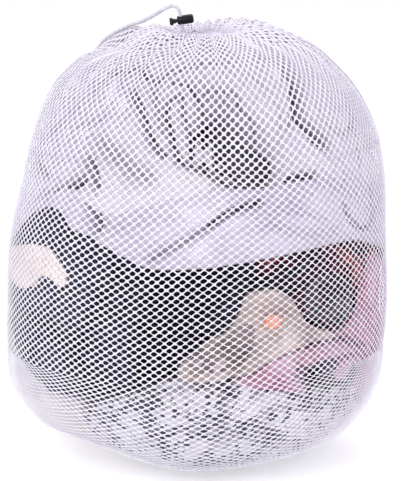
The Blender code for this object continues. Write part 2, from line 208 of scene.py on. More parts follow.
BELLY_ARC = float(arc_at(BELLY_HEIGHT))
CREST_ARC = float(ARC[CREST])
TOP_ARC = float(ARC[-1])

SWELLS = [
    (turns, tall, float(RNG.uniform(0, 2 * pi)), float(RNG.uniform(0, 2 * pi)), size)
    for turns, tall, size in (
        (2, 9.0, 0.0014), (3, 14.0, 0.0012), (5, 11.0, 0.0009), (4, 23.0, 0.0008), (7, 19.0, 0.0006),
    )
]
# How far each side stands proud of the plain outline: height, left, right.
SIDE_SHAPE = [
    (0.000, 0.0000, 0.0000), (0.016, -0.0105, 0.0080), (0.030, -0.0040, 0.0105), (0.050, 0.0070, 0.0060),
    (0.080, 0.0090, 0.0010), (0.110, 0.0030, -0.0050), (0.150, 0.0000, -0.0040), (0.200, -0.0010, -0.0030),
    (0.235, -0.0030, -0.0010), (0.273, -0.0060, 0.0020), (0.310, -0.0040, 0.0030), (0.340, -0.0020, 0.0010),
    (0.370, -0.0005, -0.0020), (0.395, -0.0030, -0.0040), (0.408, -0.0090, -0.0032),
    (0.418, -0.0110, -0.0015), (0.425, -0.0030, 0.0000),
]
HUMPS = [(0.046, 0.052, 0.034, 0.0075), (-0.036, -0.003, 0.017, 0.0090)]  # x, y, width and rise
FLOOR_CLEARANCE = 0.0006
FRONT_SAG = 0.0060  # how far the lower front hangs out over the base
CREST_SINK = 0.0042  # how far the gathered top lies below the plain outline


def cord_bed():
    """Arc and azimuth of the line down which the cord lies on the bag."""
    bed = []
    for x, y, z, _, _ in LOOP_ROUTE[4:20]:
        x = x - LEAN * float(smoothstep((z - LEAN_START) / (LEAN_END - LEAN_START)))
        far2 = (RADIUS - np.hypot(x, y)) ** 2 + (HEIGHT - z) ** 2
        bed.append((float(ARC[FLOOR_EDGE + int(np.argmin(far2[FLOOR_EDGE:]))]), float(np.arctan2(x, -y))))
    return np.array(sorted(bed)).T


BED_ARC, BED_TURN = cord_bed()
BED_WIDTH = 0.013
BED_LEVEL = 0.0002
BED_FADES = (0.040, 0.020)  # how soon it begins at the bottom and ends at the top


def under_cord(theta, arc):
    """1 on the line down which the cord lies, falling to 0 beside it."""
    away = (theta - np.interp(arc, BED_ARC, BED_TURN) + pi) % (2 * pi) - pi
    away = away * np.interp(arc, ARC, RADIUS)
    begun = smoothstep((arc - BED_ARC[0]) / BED_FADES[0])
    ended = smoothstep((arc - BED_ARC[-1] - 0.002) / BED_FADES[1])
    return np.exp(-(away / BED_WIDTH) ** 2) * (begun * (1 - ended))


def swell(theta, height):
    """Low, wide bulges of the stuffed bag, and its lean to either side."""
    fade = smoothstep(height / 0.05) * (1 - smoothstep((height - 0.385) / 0.03))
    total = np.zeros_like(theta)
    for turns, tall, phase, shift, size in SWELLS:
        total = total + size * np.sin(turns * theta + phase) * np.sin(tall * height + shift)
    heights, lefts, rights = zip(*SIDE_SHAPE)
    left = np.interp(height, heights, lefts)
    right = np.interp(height, heights, rights)
    side = np.sin(theta)
    low = smoothstep(height / 0.004) * (1 - smoothstep((height - 0.015) / 0.06))
    sag = FRONT_SAG * np.clip(np.cos(theta), 0, 1) ** 6 * low
    return total * fade + np.where(side < 0, left, right) * side ** 2 + sag


def skin(theta, arc, out=0.0):
    """Points on the bag's surface, moved out along its normal."""
    theta, arc, out = np.broadcast_arrays(theta, arc, out)
    radius = np.interp(arc, ARC, RADIUS)
    height = np.interp(arc, ARC, HEIGHT)
    normal_r = np.interp(arc, ARC, NORMAL_R)
    normal_z = np.interp(arc, ARC, NORMAL_Z)
    bed = under_cord(theta, arc)
    own = swell(theta, height) * (1 - bed) + BED_LEVEL * bed
    push = out + own
    r = radius + normal_r * push
    z = height + normal_z * push + np.clip(FLOOR_CLEARANCE - height - normal_z * own, 0, None)
    x = LEAN * smoothstep((height - LEAN_START) / (LEAN_END - LEAN_START)) + r * np.sin(theta)
    y = -r * np.cos(theta)
    for hump_x, hump_y, width, rise in HUMPS:
        far2 = (x - hump_x) ** 2 + (y - hump_y) ** 2
        z = z + rise * np.exp(-far2 / (2 * width ** 2)) * smoothstep((height - 0.36) / 0.05) * (1 - bed)
    sink = smoothstep((arc - CREST_ARC + 0.075) / 0.05) * (1 - smoothstep((arc - TOP_ARC + 0.024) / 0.016))
    z = z - CREST_SINK * sink * (1 - bed)
    return np.stack([x, y, z], -1)


# ---------------------------------------------------------------- the net's lattice

COLUMNS = 124
BAR_PAIR = 0.0118  # twice a bar's length: a mesh's width and height squared add up to its square
NARROWEST = 0.0046
SMALLEST_MESH = 0.0024  # the meshes close up where they meet at the bottom corners
BAR_HALF = 0.00045
YARN_RISE = 0.00046
HOLE_TILT = 0.10  # the bars that rise to the right are a little thicker than the others
SLACK_GAIN = 0.45
NECK_GAIN = 1.0
TAUT_LOSS = 0.30
TAUT_PLACE = (0.40, 0.180)  # azimuth and height of the tightest stretch
TAUT_REACH = (0.80, 0.080)
TAUT_POINTS = 0.17  # how far stretched holes reach into the knots
SEAM_WAY = 0.66  # how evenly the columns are spaced along the bottom seam
PLEATS = 29
PLEAT_WARP = [(2, 0.21, 0.4), (3, 0.16, 1.9), (5, 0.10, 3.1), (7, 0.06, 5.2)]
PLEAT_DEPTH = 0.0013
PLEAT_LEAD = 0.0011
BUNCH = 0.45
BUNCH_REACH = 0.17


def row_table():
    """How many meshes lie below each sample of the arc."""
    wide = np.where(ARC < BELLY_ARC, np.interp(BELLY_ARC, ARC, RADIUS), RADIUS) * 2 * pi / COLUMNS
    wide = np.clip(wide, NARROWEST, None)
    tall = np.sqrt(BAR_PAIR ** 2 - wide ** 2)
    rows = np.concatenate([[0.0], np.cumsum(np.diff(ARC) / ((tall[1:] + tall[:-1]) / 2))])
    return rows * (round(rows[-1]) / rows[-1])


ROW_AT = row_table()
ROWS = int(round(ROW_AT[-1]))


def drift(turn, arc):
    """A slow wander of the lattice, as the cloth was pulled about when it was filled."""
    wide_sideways = 0.30 * np.sin(2 * turn + 9 * arc + 0.6) * np.sin(11 * arc + 0.5)
    small_sideways = 0.16 * np.sin(5 * turn - 13 * arc + 2.2)
    wide_upward = 0.45 * np.sin(3 * turn + 6 * arc + 4.0) * np.sin(8 * arc)
    small_upward = 0.14 * np.sin(7 * turn + 17 * arc + 1.0)
    below_neck = 1 - smoothstep((arc - 0.50) / 0.12)
    slant = 0.5 * np.sin(4 * turn + 21 * arc + 0.3) * (smoothstep((arc - 0.36) / 0.10) * below_neck)
    fade = smoothstep(arc / 0.10) * below_neck
    return (wide_sideways + small_sideways) * fade + slant, (wide_upward + small_upward) * fade + slant


def pleat_turn(theta):
    """The phase of the gathers round the neck, which aren't quite evenly spaced."""
    turn = theta * PLEATS
    for n, size, phase in PLEAT_WARP:
        turn = turn + size * 10 * np.sin(n * theta + phase)
    return turn


def bunched(theta, arc):
    """The net's columns crowd together in the valleys of the gathers."""
    uneven = 0.65 + 0.35 * np.sin(3 * theta + 0.7) * np.sin(8 * theta + 2.0)
    size = BUNCH * uneven * smoothstep((arc - (TOP_ARC - BUNCH_REACH)) / 0.10)
    return theta - size * np.cos(pleat_turn(theta)) / PLEATS


def pleat_push(theta, arc):
    """In and out of the gathers, which deepen where the net's width no longer fits round the neck."""
    radius = np.interp(arc, ARC, RADIUS)
    near_top = arc > BELLY_ARC
    spare = np.where(near_top, np.clip(COLUMNS * NARROWEST / (2 * pi * radius), 1.0, None), 1.0)
    length = 2 * pi * radius / PLEATS
    depth = length * np.sqrt(2 * (spare ** 2 - 1)) / (2 * pi)
    depth = np.clip(depth, 0, PLEAT_DEPTH) + PLEAT_LEAD * smoothstep((arc - (TOP_ARC - 0.24)) / 0.15)
    turn = pleat_turn(theta)
    uneven = 0.72 + 0.28 * np.sin(5 * theta + 1.0) * np.sin(9 * theta + 14 * arc)
    return depth * (uneven * np.sin(turn) - 0.35) * (1 - under_cord(theta, arc))


def lattice(col, row, out):
    """Points of the net at a column and a row of meshes, counted from the front's middle and the bottom."""
    arc = np.interp(row, ROW_AT, ARC)
    turn = 2 * pi * col / COLUMNS
    shift_col, shift_row = drift(turn, arc)
    row = row + shift_row
    arc = np.interp(row, ROW_AT, ARC)
    turn = turn + 2 * pi * shift_col / COLUMNS
    turn = (turn + pi) % (2 * pi) - pi
    behind = np.abs(turn) > pi / 2
    facing = np.where(behind, np.sign(turn) * pi - turn, turn)
    low = arc < BELLY_ARC
    ease = smoothstep(arc / BELLY_ARC)
    way = SEAM_WAY + (1 - SEAM_WAY) * ease
    sideways = BELLY_ARC * np.sin(way * facing) / np.sin(way * pi / 2)
    forward = arc * np.cos(facing)
    theta = np.where(low, np.arctan2(sideways, forward), facing)
    reach = np.where(low, np.hypot(sideways, forward), arc)
    theta = bunched(np.where(behind, pi - theta, theta), reach)
    return skin(theta, reach, out + pleat_push(theta, reach))


def stretch(turn, row):
    """How much thicker the net's bars look where it is slack, and how taut the load pulls it, from 0 to 1."""
    arc = np.interp(row, ROW_AT, ARC)
    height = np.interp(arc, ARC, HEIGHT)
    slack = SLACK_GAIN * smoothstep((height - 0.27) / 0.12) * (arc < CREST_ARC)
    slack = slack + SLACK_GAIN * (arc >= CREST_ARC)
    slack = slack + NECK_GAIN * smoothstep((arc - (TOP_ARC - 0.15)) / 0.09)
    far2 = ((turn - TAUT_PLACE[0]) / TAUT_REACH[0]) ** 2 + ((height - TAUT_PLACE[1]) / TAUT_REACH[1]) ** 2
    return slack, np.exp(-far2)


RING = [(2, 0), (1, 1), (0, 2), (-1, 1), (-2, 0), (-1, -1), (0, -2), (1, -1)]  # quarter meshes
PER_COLUMN = 4
KNOT_RISE = 1.1  # how much thicker a knot is than a bar
HOLE_OVAL = 0.97  # a hole's width over its height, in a square mesh
OVAL_POWER = 1.2  # how much more than the mesh itself its hole stretches
SMALLEST_HOLE = 0.0002
HOLE_JITTER = 0.06
JITTER_FROM = 0.0008  # smaller holes keep their plain shape


def net_band(name, look, first_col, last_col, first_row, last_row):
    """One stretch of net: every mesh is a hole in a ring of eight points, with bars between holes."""
    cells = []
    for half_row in range(2 * first_row + 1, 2 * last_row + 1):
        shift = 0 if half_row % 2 else 2
        for col in range(first_col, last_col):
            cells.append((PER_COLUMN * col + 2 + shift, 2 * half_row))
    cells = np.array(cells)
    ring = np.array(RING)
    outer = cells[:, None, :] + ring[None, :, :]
    keys, index = np.unique(outer.reshape(-1, 2), axis=0, return_inverse=True)
    index = index.reshape(-1, 8)
    col = keys[:, 0] / PER_COLUMN
    row = keys[:, 1] / PER_COLUMN
    knot = (keys[:, 0] + keys[:, 1]) % 2 == 0
    rise = YARN_RISE * np.where(knot, KNOT_RISE, 1.0)
    top = lattice(col, row, rise)
    bottom = lattice(col, row, -rise)

    mid_col = cells[:, 0] / PER_COLUMN
    mid_row = cells[:, 1] / PER_COLUMN
    across = lattice(mid_col + 0.5, mid_row, 0) - lattice(mid_col - 0.5, mid_row, 0)
    upright = lattice(mid_col, mid_row + 0.5, 0) - lattice(mid_col, mid_row - 0.5, 0)
    wide = np.clip(np.linalg.norm(across, axis=1), SMALLEST_MESH, None)
    tall = np.clip(np.linalg.norm(upright, axis=1), SMALLEST_MESH, None)
    bar = np.hypot(wide, tall)
    slack, taut = stretch(2 * pi * mid_col / COLUMNS, mid_row)
    room = wide * tall / (2 * bar) - BAR_HALF * (1 + slack - TAUT_LOSS * taut)
    oval = HOLE_OVAL * (wide / tall) ** OVAL_POWER
    half_tall = room / np.sqrt((oval * tall / bar) ** 2 + (wide / bar) ** 2)
    half_tall = np.clip(half_tall, SMALLEST_HOLE, None)
    half_wide = half_tall * oval
    angle = np.arange(8) * pi / 4
    jitter = 1 + HOLE_JITTER * RNG.standard_normal((len(cells), 8)) * (half_tall > JITTER_FROM)[:, None]
    jitter = jitter * (1 + TAUT_POINTS * taut[:, None] * (np.arange(8) % 2 == 0))
    hole_col = mid_col[:, None] + (half_wide / wide)[:, None] * np.cos(angle) * jitter
    lift = HOLE_TILT * np.cos(angle) + np.sqrt(1 - HOLE_TILT ** 2) * np.sin(angle)
    hole_row = mid_row[:, None] + (half_tall / tall)[:, None] * lift * jitter
    hole = lattice(hole_col.ravel(), hole_row.ravel(), 0.0)

    n = len(keys)
    around = np.roll(np.arange(8), -1)
    hole_index = 2 * n + np.arange(len(cells) * 8).reshape(-1, 8)
    front = np.stack([index, index[:, around], hole_index[:, around], hole_index], -1).reshape(-1, 4)
    rear = np.stack([index + n, hole_index, hole_index[:, around], index[:, around] + n], -1).reshape(-1, 4)
    edges = np.stack([index, index[:, around]], -1).reshape(-1, 2)
    order = np.sort(edges, axis=1)
    _, first, count = np.unique(order, axis=0, return_index=True, return_counts=True)
    rim = edges[first[count == 1]]
    rim = np.stack([rim[:, 1], rim[:, 0], rim[:, 0] + n, rim[:, 1] + n], -1)
    points = np.concatenate([top, bottom, hole])
    spot = np.concatenate([
        np.stack([col, row], 1), np.stack([col, row], 1), np.stack([hole_col.ravel(), hole_row.ravel()], 1),
    ])
    return mesh_piece(name, points, np.concatenate([front, rear, rim]), look, spot)


# ---------------------------------------------------------------- materials


def material(name, colour, roughness, metallic=0.0, sheen=0.0):
    made = bpy.data.materials.new(name)
    made.use_nodes = True
    shader = made.node_tree.nodes["Principled BSDF"]
    shader.inputs["Base Color"].default_value = (*colour, 1.0)
    shader.inputs["Roughness"].default_value = roughness
    shader.inputs["Metallic"].default_value = metallic
    shader.inputs["Sheen Weight"].default_value = sheen
    shader.inputs["Sheen Roughness"].default_value = 0.45
    return made


def node(made, kind, **values):
    """A node with its inputs or properties set, by name."""
    new = made.node_tree.nodes.new(kind)
    for key, value in values.items():
        if hasattr(new, key):
            setattr(new, key, value)
        else:
            new.inputs[key.replace("_", " ")].default_value = value
    return new


def join(made, source, target):
    made.node_tree.links.new(source, target)


def shader_of(made):
    return made.node_tree.nodes["Principled BSDF"]


def noise(made, scale, detail, **values):
    """Noise in object space. Returns its value."""
    place = node(made, "ShaderNodeTexCoord")
    speckle = node(made, "ShaderNodeTexNoise", Scale=scale, Detail=detail, **values)
    join(made, place.outputs["Object"], speckle.inputs["Vector"])
    return speckle.outputs["Fac"]


def ramp(made, source, *stops):
    """The colour that a value stands for, between stops of a place and a colour."""
    blend = node(made, "ShaderNodeValToRGB")
    marks = blend.color_ramp.elements
    while len(marks) < len(stops):
        marks.new(1.0)
    for mark, (place, colour) in zip(marks, stops):
        mark.position = place
        mark.color = (*colour, 1.0)
    join(made, source, blend.inputs["Fac"])
    return blend.outputs["Color"]


def relief(made, height, distance, strength=1.0):
    """Bumps on the surface, from a value."""
    bump = node(made, "ShaderNodeBump", Distance=distance, Strength=strength)
    join(made, height, bump.inputs["Height"])
    join(made, bump.outputs["Normal"], shader_of(made).inputs["Normal"])


def blotches(made, scale, dark, light):
    """A soft blend of two colours in object space."""
    return ramp(made, noise(made, scale, 3.0), (0.35, dark), (0.65, light))


def weave(made, threads, depth, distort=0.0):
    """Warp and weft relief from the cloth's own coordinates."""
    place = node(made, "ShaderNodeUVMap", uv_map="cloth")
    both = node(made, "ShaderNodeMath", operation="MULTIPLY")
    for direction, target in zip("XY", both.inputs):
        wave = node(made, "ShaderNodeTexWave", Scale=threads, Distortion=distort, bands_direction=direction)
        join(made, place.outputs["UV"], wave.inputs["Vector"])
        join(made, wave.outputs["Fac"], target)
    relief(made, both.outputs["Value"], depth, 0.6)


PAINTED_SHADE_TINT = (0.045, 0.040, 0.060)  # the colour of the shade painted into the cloth deep in a fold
CLOTH_GLOSS = 0.10


def colour_with_painted_shade(made, colour):
    """The colour goes onto the shader with painted shade multiplied in, darker where the cloth lies deep
    between two garments.
    """
    shader_of(made).inputs["Specular IOR Level"].default_value = CLOTH_GLOSS
    gap = node(made, "ShaderNodeAttribute", attribute_name="gap")
    mix = node(made, "ShaderNodeMix", data_type="RGBA", blend_type="MULTIPLY")
    mix.inputs[7].default_value = (*PAINTED_SHADE_TINT, 1.0)
    join(made, gap.outputs["Fac"], mix.inputs["Factor"])
    join(made, colour, mix.inputs[6])
    join(made, mix.outputs[2], shader_of(made).inputs["Base Color"])


def cloth_material(name, dark, light, scale, threads, depth=0.0003):
    made = material(name, light, 0.85, sheen=0.25)
    colour_with_painted_shade(made, blotches(made, scale, dark, light))
    weave(made, threads, depth)
    return made


def navy_material():
    """Rib-knit navy, lighter towards charcoal on its left (-X) side."""
    made = material("navy_knit", (0.045, 0.052, 0.085), 0.85, sheen=0.12)
    place = node(made, "ShaderNodeTexCoord")
    split = node(made, "ShaderNodeSeparateXYZ")
    join(made, place.outputs["Object"], split.inputs["Vector"])
    # the colour rises towards charcoal as X goes left
    lighter_leftward = node(made, "ShaderNodeMapRange", From_Min=-0.03, From_Max=-0.13, To_Min=-0.22, To_Max=0.16)
    join(made, split.outputs["X"], lighter_leftward.inputs["Value"])
    total = node(made, "ShaderNodeMath", operation="ADD")
    join(made, noise(made, 17.0, 3.0), total.inputs[0])
    join(made, lighter_leftward.outputs["Result"], total.inputs[1])
    colours = ((0.32, (0.0015, 0.0018, 0.004)), (0.68, (0.050, 0.058, 0.088)))
    colour_with_painted_shade(made, ramp(made, total.outputs["Value"], *colours))
    weave(made, 330.0, 0.0006)
    return made


def net_material():
    made = material("net_yarn", (0.91, 0.90, 0.96), 0.55, sheen=0.3)
    colour = blotches(made, 60.0, (0.87, 0.855, 0.95), (0.94, 0.93, 0.98))
    join(made, colour, shader_of(made).inputs["Base Color"])
    weave(made, 9.0, 0.00012, 0.6)
    return made


def speckled_print():
    """White cotton with small, broken dark marks."""
    made = material("speckled_print", (0.85, 0.85, 0.88), 0.85, sheen=0.2)
    total = node(made, "ShaderNodeMath", operation="MULTIPLY_ADD")
    total.inputs[1].default_value = 0.45
    join(made, noise(made, 28.0, 1.0), total.inputs[0])
    join(made, noise(made, 150.0, 2.0, Roughness=0.6), total.inputs[2])
    colours = ((0.74, (0.90, 0.90, 0.93)), (0.79, (0.12, 0.12, 0.145)))
    colour_with_painted_shade(made, ramp(made, total.outputs["Value"], *colours))
    weave(made, 600.0, 0.0002)
    return made


def dark_floral():
    """Near-black knit with maroon blooms and a few pale specks."""
    made = material("dark_floral", (0.03, 0.01, 0.015), 0.8, sheen=0.2)
    colours = ((0.42, (0.008, 0.006, 0.008)), (0.55, (0.085, 0.004, 0.010)), (0.70, (0.50, 0.13, 0.13)))
    colour_with_painted_shade(made, ramp(made, noise(made, 34.0, 3.0), *colours))
    weave(made, 500.0, 0.0002)
    return made


def plastic_material():
    made = material("moulded_black", (0.004, 0.004, 0.005), 0.32)
    shader_of(made).inputs["Specular IOR Level"].default_value = 0.3
    grain = noise(made, 900.0, 2.0)
    spread = node(made, "ShaderNodeMapRange", To_Min=0.26, To_Max=0.42)
    join(made, grain, spread.inputs["Value"])
    join(made, spread.outputs["Result"], shader_of(made).inputs["Roughness"])
    relief(made, grain, 0.00003)
    return made


def steel_material():
    made = material("spring_steel", (0.62, 0.62, 0.64), 0.28, metallic=1.0)
    relief(made, noise(made, 1500.0, 2.0), 0.00001)
    return made


LOOKS = {
    "net": net_material(),
    "binding": cloth_material("seam_tape", (0.74, 0.72, 0.83), (0.88, 0.87, 0.94), 90.0, 700.0),
    "cord": cloth_material("braided_cord", (0.66, 0.65, 0.69), (0.86, 0.85, 0.88), 300.0, 900.0),
    "black_plastic": plastic_material(),
    "steel": steel_material(),
    "white_cotton": cloth_material("white_cotton", (0.82, 0.80, 0.90), (0.95, 0.94, 0.98), 14.0, 650.0),
    "grey_jersey": cloth_material("grey_jersey", (0.008, 0.008, 0.010), (0.10, 0.10, 0.115), 36.0, 500.0),
    "pillowcase": cloth_material("pillowcase", (0.70, 0.66, 0.78), (0.87, 0.84, 0.93), 12.0, 620.0),
    # A darker copy of the beige linen: painted shade for where the blouse lies in shadow.
    "beige_painted_shade": cloth_material("beige_linen_painted_shade", (0.20, 0.16, 0.14), (0.46, 0.39, 0.35), 30.0, 420.0),
    "coral": cloth_material("coral_print", (0.80, 0.26, 0.14), (0.92, 0.48, 0.32), 60.0, 520.0),
    "navy_knit": navy_material(),
    "maroon_knit": dark_floral(),
    "beige_linen": cloth_material("beige_linen", (0.45, 0.36, 0.31), (0.78, 0.68, 0.60), 26.0, 420.0),
    "peach": cloth_material("peach_cotton", (0.86, 0.75, 0.67), (0.98, 0.91, 0.85), 40.0, 420.0),
    "pink_jersey": cloth_material("pink_jersey", (0.52, 0.20, 0.32), (0.86, 0.62, 0.72), 26.0, 520.0),
    "printed_cotton": speckled_print(),
    "cream_terry": cloth_material("cream_terry", (0.88, 0.84, 0.78), (0.97, 0.95, 0.92), 60.0, 380.0, 0.0008),
}

# ---------------------------------------------------------------- camera, floor and light

CAMERA_LIFT = radians(12)
CAMERA_FAR = 1.8
AIM = Vector((0.0025, 0.0, 0.2110))
VIEW_HALF = radians(7.61028)  # half the angle across the frame's long side


def camera():
    data = bpy.data.cameras.new("camera")
    data.sensor_width = 36.0
    data.lens = data.sensor_width / 2 / np.tan(VIEW_HALF)
    data.clip_start = 0.05
    obj = bpy.data.objects.new("camera", data)
    bpy.context.scene.collection.objects.link(obj)
    back = Vector((0, -cos(CAMERA_LIFT), sin(CAMERA_LIFT)))
    obj.location = AIM + back * CAMERA_FAR
    obj.rotation_mode = "QUATERNION"
    obj.rotation_quaternion = back.to_track_quat("Z", "Y")
    bpy.context.scene.camera = obj


def area_light(name, place, size, power, colour=(1, 1, 1)):
    data = bpy.data.lights.new(name, "AREA")
    data.shape = "RECTANGLE"
    data.size = size
    data.size_y = size
    data.energy = power
    data.color = colour
    obj = bpy.data.objects.new(name, data)
    bpy.context.scene.collection.objects.link(obj)
    obj.location = place
    obj.rotation_mode = "QUATERNION"
    obj.rotation_quaternion = (Vector(place) - Vector((0, 0, 0.2))).to_track_quat("Z", "Y")


FLOOR_RADIUS = 30.0


def studio():
    """A pale floor that runs to the horizon, and soft light from all round."""
    sides = 64
    turn = np.arange(sides) * 2 * pi / sides
    rings = [np.stack([r * np.cos(turn), r * np.sin(turn), 0 * turn], 1) for r in (0.5, 3.0, FLOOR_RADIUS)]
    points = np.concatenate([[[0.0, 0.0, 0.0]]] + rings)
    k = np.arange(sides)
    nxt = (k + 1) % sides
    faces = [np.stack([0 * k, 1 + k, 1 + nxt], 1)]
    for ring in range(2):
        a = 1 + ring * sides
        faces.append(np.stack([a + k, a + sides + k, a + sides + nxt, a + nxt], 1))
    look = material("studio_floor", (0.90, 0.90, 0.90), 0.9)
    shader = look.node_tree.nodes["Principled BSDF"]
    shader.inputs["Emission Color"].default_value = (1, 1, 1, 1)
    shader.inputs["Emission Strength"].default_value = 0.35
    floor = mesh_piece("studio_floor", points, faces, look)
    world = bpy.data.worlds.new("studio")
    world.use_nodes = True
    sky = world.node_tree.nodes["Background"]
    sky.inputs["Color"].default_value = (1.0, 0.94, 1.045, 1.0)
    sky.inputs["Strength"].default_value = 0.75
    bpy.context.scene.world = world
    bpy.context.scene.view_settings.view_transform = "Standard"
    area_light("key", (-1.3, -1.7, 1.9), 1.4, 28.0)
    area_light("fill", (1.9, -1.2, 1.0), 1.6, 8.0, (1.0, 0.95, 1.0))
    area_light("back", (0.4, 1.4, 2.0), 1.2, 12.0)


# ---------------------------------------------------------------- drawstring

EXIT_ROUTE = [(-0.0179, 0.0026, 0.4140), (-0.0213, 0.0019, 0.4181)]
LOCK_ROUTE = [
    (0, -0.0060), (0, 0.0), (0, 0.0050), (0, 0.0086), (-0.0009, 0.0119), (-0.0033, 0.0143),
    (-0.0066, 0.0152),
]
TURN_ROUTE = [(0.0058, -0.0048), (0.0078, 0.0), (0.0058, 0.0048)]
BRAID_SIDES = 16
BRAID_RELIEF = 0.055
BRAID_PITCH = 0.0042


def lock_frame():
    return Matrix.Translation(LOCK_ORIGIN) @ Matrix.Rotation(LOCK_TILT, 4, "Y")


def strand_route(side):
    """One strand from the hem's exit up through the lock: side is -1 in front, 1 behind."""
    angle = radians(180 - side * HEM_EXIT_ANGLE)
    out = NECK + NECK_RADIUS * Vector((cos(angle), sin(angle), 0))
    along = Vector((sin(angle), -cos(angle), 0)) * -side
    points = [out, out + along * 0.0030 + Vector((-0.0003, 0, 0.0002))]
    points += [Vector((NECK.x + x, side * y, z)) for x, y, z in EXIT_ROUTE]
    points += [lock_frame() @ Vector((x, side * STRAND_OFFSET, z)) for x, z in LOCK_ROUTE]
    return points


def aside(degrees):
    return Vector((cos(radians(degrees)), sin(radians(degrees)), 0))


def loop_side(side):
    """One strand of the doubled stretch."""
    return [Vector((x, y, z)) + side * half * aside(deg) for x, y, z, half, deg in LOOP_ROUTE]


def drawstring_route():
    """The whole free cord: out of the hem, up through the lock, round its loop and back."""
    last = LOOP_ROUTE[-1]
    end = Vector(last[:3])
    beside = aside(last[4])
    ahead = aside(last[4] - 90)
    turn = [end + ahead * x + beside * y for x, y in TURN_ROUTE]
    front = strand_route(-1) + loop_side(-1)
    back = strand_route(1) + loop_side(1)
    return front + turn + list(reversed(back))


def even_steps(line, step):
    """Points at equal steps along a line, ends included."""
    lengths = [0.0]
    for a, b in zip(line, line[1:]):
        lengths.append(lengths[-1] + (b - a).length)
    count = round(lengths[-1] / step)
    spaced = [line[0]]
    j = 0
    for i in range(1, count):
        want = lengths[-1] * i / count
        while lengths[j + 1] < want:
            j += 1
        t = (want - lengths[j]) / (lengths[j + 1] - lengths[j])
        spaced.append(line[j].lerp(line[j + 1], t))
    spaced.append(line[-1])
    return spaced


def relax(line, passes):
    """Eases every bend a little. The two ends and the points beside them stay."""
    for _ in range(passes):
        middle = [(a + 2 * b + c) / 4 for a, b, c in zip(line[1:-3], line[2:-2], line[3:-1])]
        line = line[:2] + middle + line[-2:]
    return line


def drawstring_line():
    """The free cord's centreline, in even steps of a millimetre."""
    return relax(even_steps(smooth_line(drawstring_route(), 8), 0.001), CORD_EASE)


def tube_faces(rings, sides):
    """Walls and end caps of a tube. Two points that follow its rings close the ends."""
    k = np.arange(sides)
    nxt = (k + 1) % sides
    row = np.arange(rings - 1)[:, None] * sides
    walls = np.stack([row + k, row + nxt, row + sides + nxt, row + sides + k], -1).reshape(-1, 4)
    start = rings * sides
    caps = np.concatenate([
        np.stack([np.full(sides, start), nxt, k], 1),
        np.stack([np.full(sides, start + 1), start - sides + k, start - sides + nxt], 1),
    ])
    return [walls, caps]


def sweep(line, radius_at, sides):
    """Rings round a line, turned as little as possible from one to the next, with closed ends."""
    line = np.array([tuple(p) for p in line])
    ahead = np.gradient(line, axis=0)
    ahead /= np.linalg.norm(ahead, axis=1)[:, None]
    side = np.cross(ahead[0], (0.3, 0.2, 0.9))
    side /= np.linalg.norm(side)
    angle = np.arange(sides) * 2 * pi / sides
    along = np.concatenate([[0.0], np.cumsum(np.linalg.norm(np.diff(line, axis=0), axis=1))])
    rings = []
    for i in range(len(line)):
        side = side - ahead[i] * (side @ ahead[i])
        side /= np.linalg.norm(side)
        other = np.cross(ahead[i], side)
        radius = radius_at(angle, along[i])
        rings.append(
            line[i]
            + (np.cos(angle) * radius)[:, None] * side
            + (np.sin(angle) * radius)[:, None] * other
        )
    points = np.concatenate(rings + [line[:1], line[-1:]])
    spots = np.stack([np.tile(angle / (2 * pi) * 0.01, len(line)), np.repeat(along, sides)], 1)
    spots = np.concatenate([spots, [[0, 0], [0, along[-1]]]])
    return points, tube_faces(len(line), sides), spots


def braid(angle, along):
    """A braided cord's radius: two sets of yarns that cross, each lying in a shallow hill."""
    turn = 2 * pi * along / BRAID_PITCH
    left = np.abs(np.sin(4 * angle + turn))
    right = np.abs(np.sin(4 * angle - turn))
    return CORD_RADIUS * (1 - BRAID_RELIEF + BRAID_RELIEF * np.maximum(left, right))


def drawstring():
    line = even_steps(drawstring_line(), 0.0007)
    points, faces, spots = sweep(line, braid, BRAID_SIDES)
    obj = mesh_piece("drawstring", points, faces, LOOKS["cord"], spots)
    on_body(obj, "bag", "cord", "drawstring_loop")


def hem_cord():
    """The drawstring's hidden stretch, inside the hem, from one side of the exit to the other."""
    start = radians(180 + HEM_EXIT_ANGLE) + SEAM_GAP / NECK_RADIUS
    angles = np.linspace(start, 3 * pi - start + pi, 100)
    line = [NECK + NECK_RADIUS * Vector((cos(a), sin(a), 0)) for a in angles]
    points, faces, spots = sweep(line, braid, BRAID_SIDES)
    on_body(mesh_piece("hem_cord", points, faces, LOOKS["cord"], spots), "bag", "cord", "drawstring_ring")


# ---------------------------------------------------------------- net, seams and hem

BANDS = 4


def net_panels():
    quarter = COLUMNS // 4
    for panel, first in (("front", -quarter), ("back", quarter)):
        for band in range(BANDS):
            low = ROWS * band // BANDS
            high = ROWS * (band + 1) // BANDS
            name = f"net_{panel}_{band + 1}"
            obj = net_band(name, LOOKS["net"], first, first + COLUMNS // 2, low, high)
            on_body(obj, "bag", "net", f"net_{panel}_panel")


# ---------------------------------------------------------------- the load

LOAD_DEPTH = 0.0013
LUMP_THICKNESS = 0.030
CLOTH_GRID = 0.0024
COARSE_STEP = 2  # the simulated cloth has every second row and column
WELL_ARC = TOP_ARC - 0.022
CLEAR_OF_NET = 0.0010
FRONT_DEPTHS = (0.00055, 0.0009)  # cloth that lies in front of the other garments
BULGE_CAP = 0.0045
OVERLAP = 0.004
CLOTH_GROWTH = 0.10
SIMULATION_FRAMES = 18
CLOTH_RADIUS = 0.19  # turns azimuths into lengths along the cloth
GRID_RADIUS = 0.185
FOLD_RADIUS = 0.18
FOLD_HEIGHTS = (0.030, 0.418)


def side_curve(rows):
    """A smooth line round the bag through rows of azimuth in degrees and height."""
    line = np.array([tuple(p) for p in smooth_line(rows, 12)])
    line = line[np.argsort(line[:, 0], kind="stable")]
    return np.radians(line[:, 0]), arc_at(line[:, 1])


def border_at(theta, border):
    """Arc at each azimuth of a border: rows for side_curve, a curve that it made, or one arc."""
    if isinstance(border, list):
        border = side_curve(border)
    return np.interp(theta, *border) if isinstance(border, tuple) else np.full(len(theta), border)


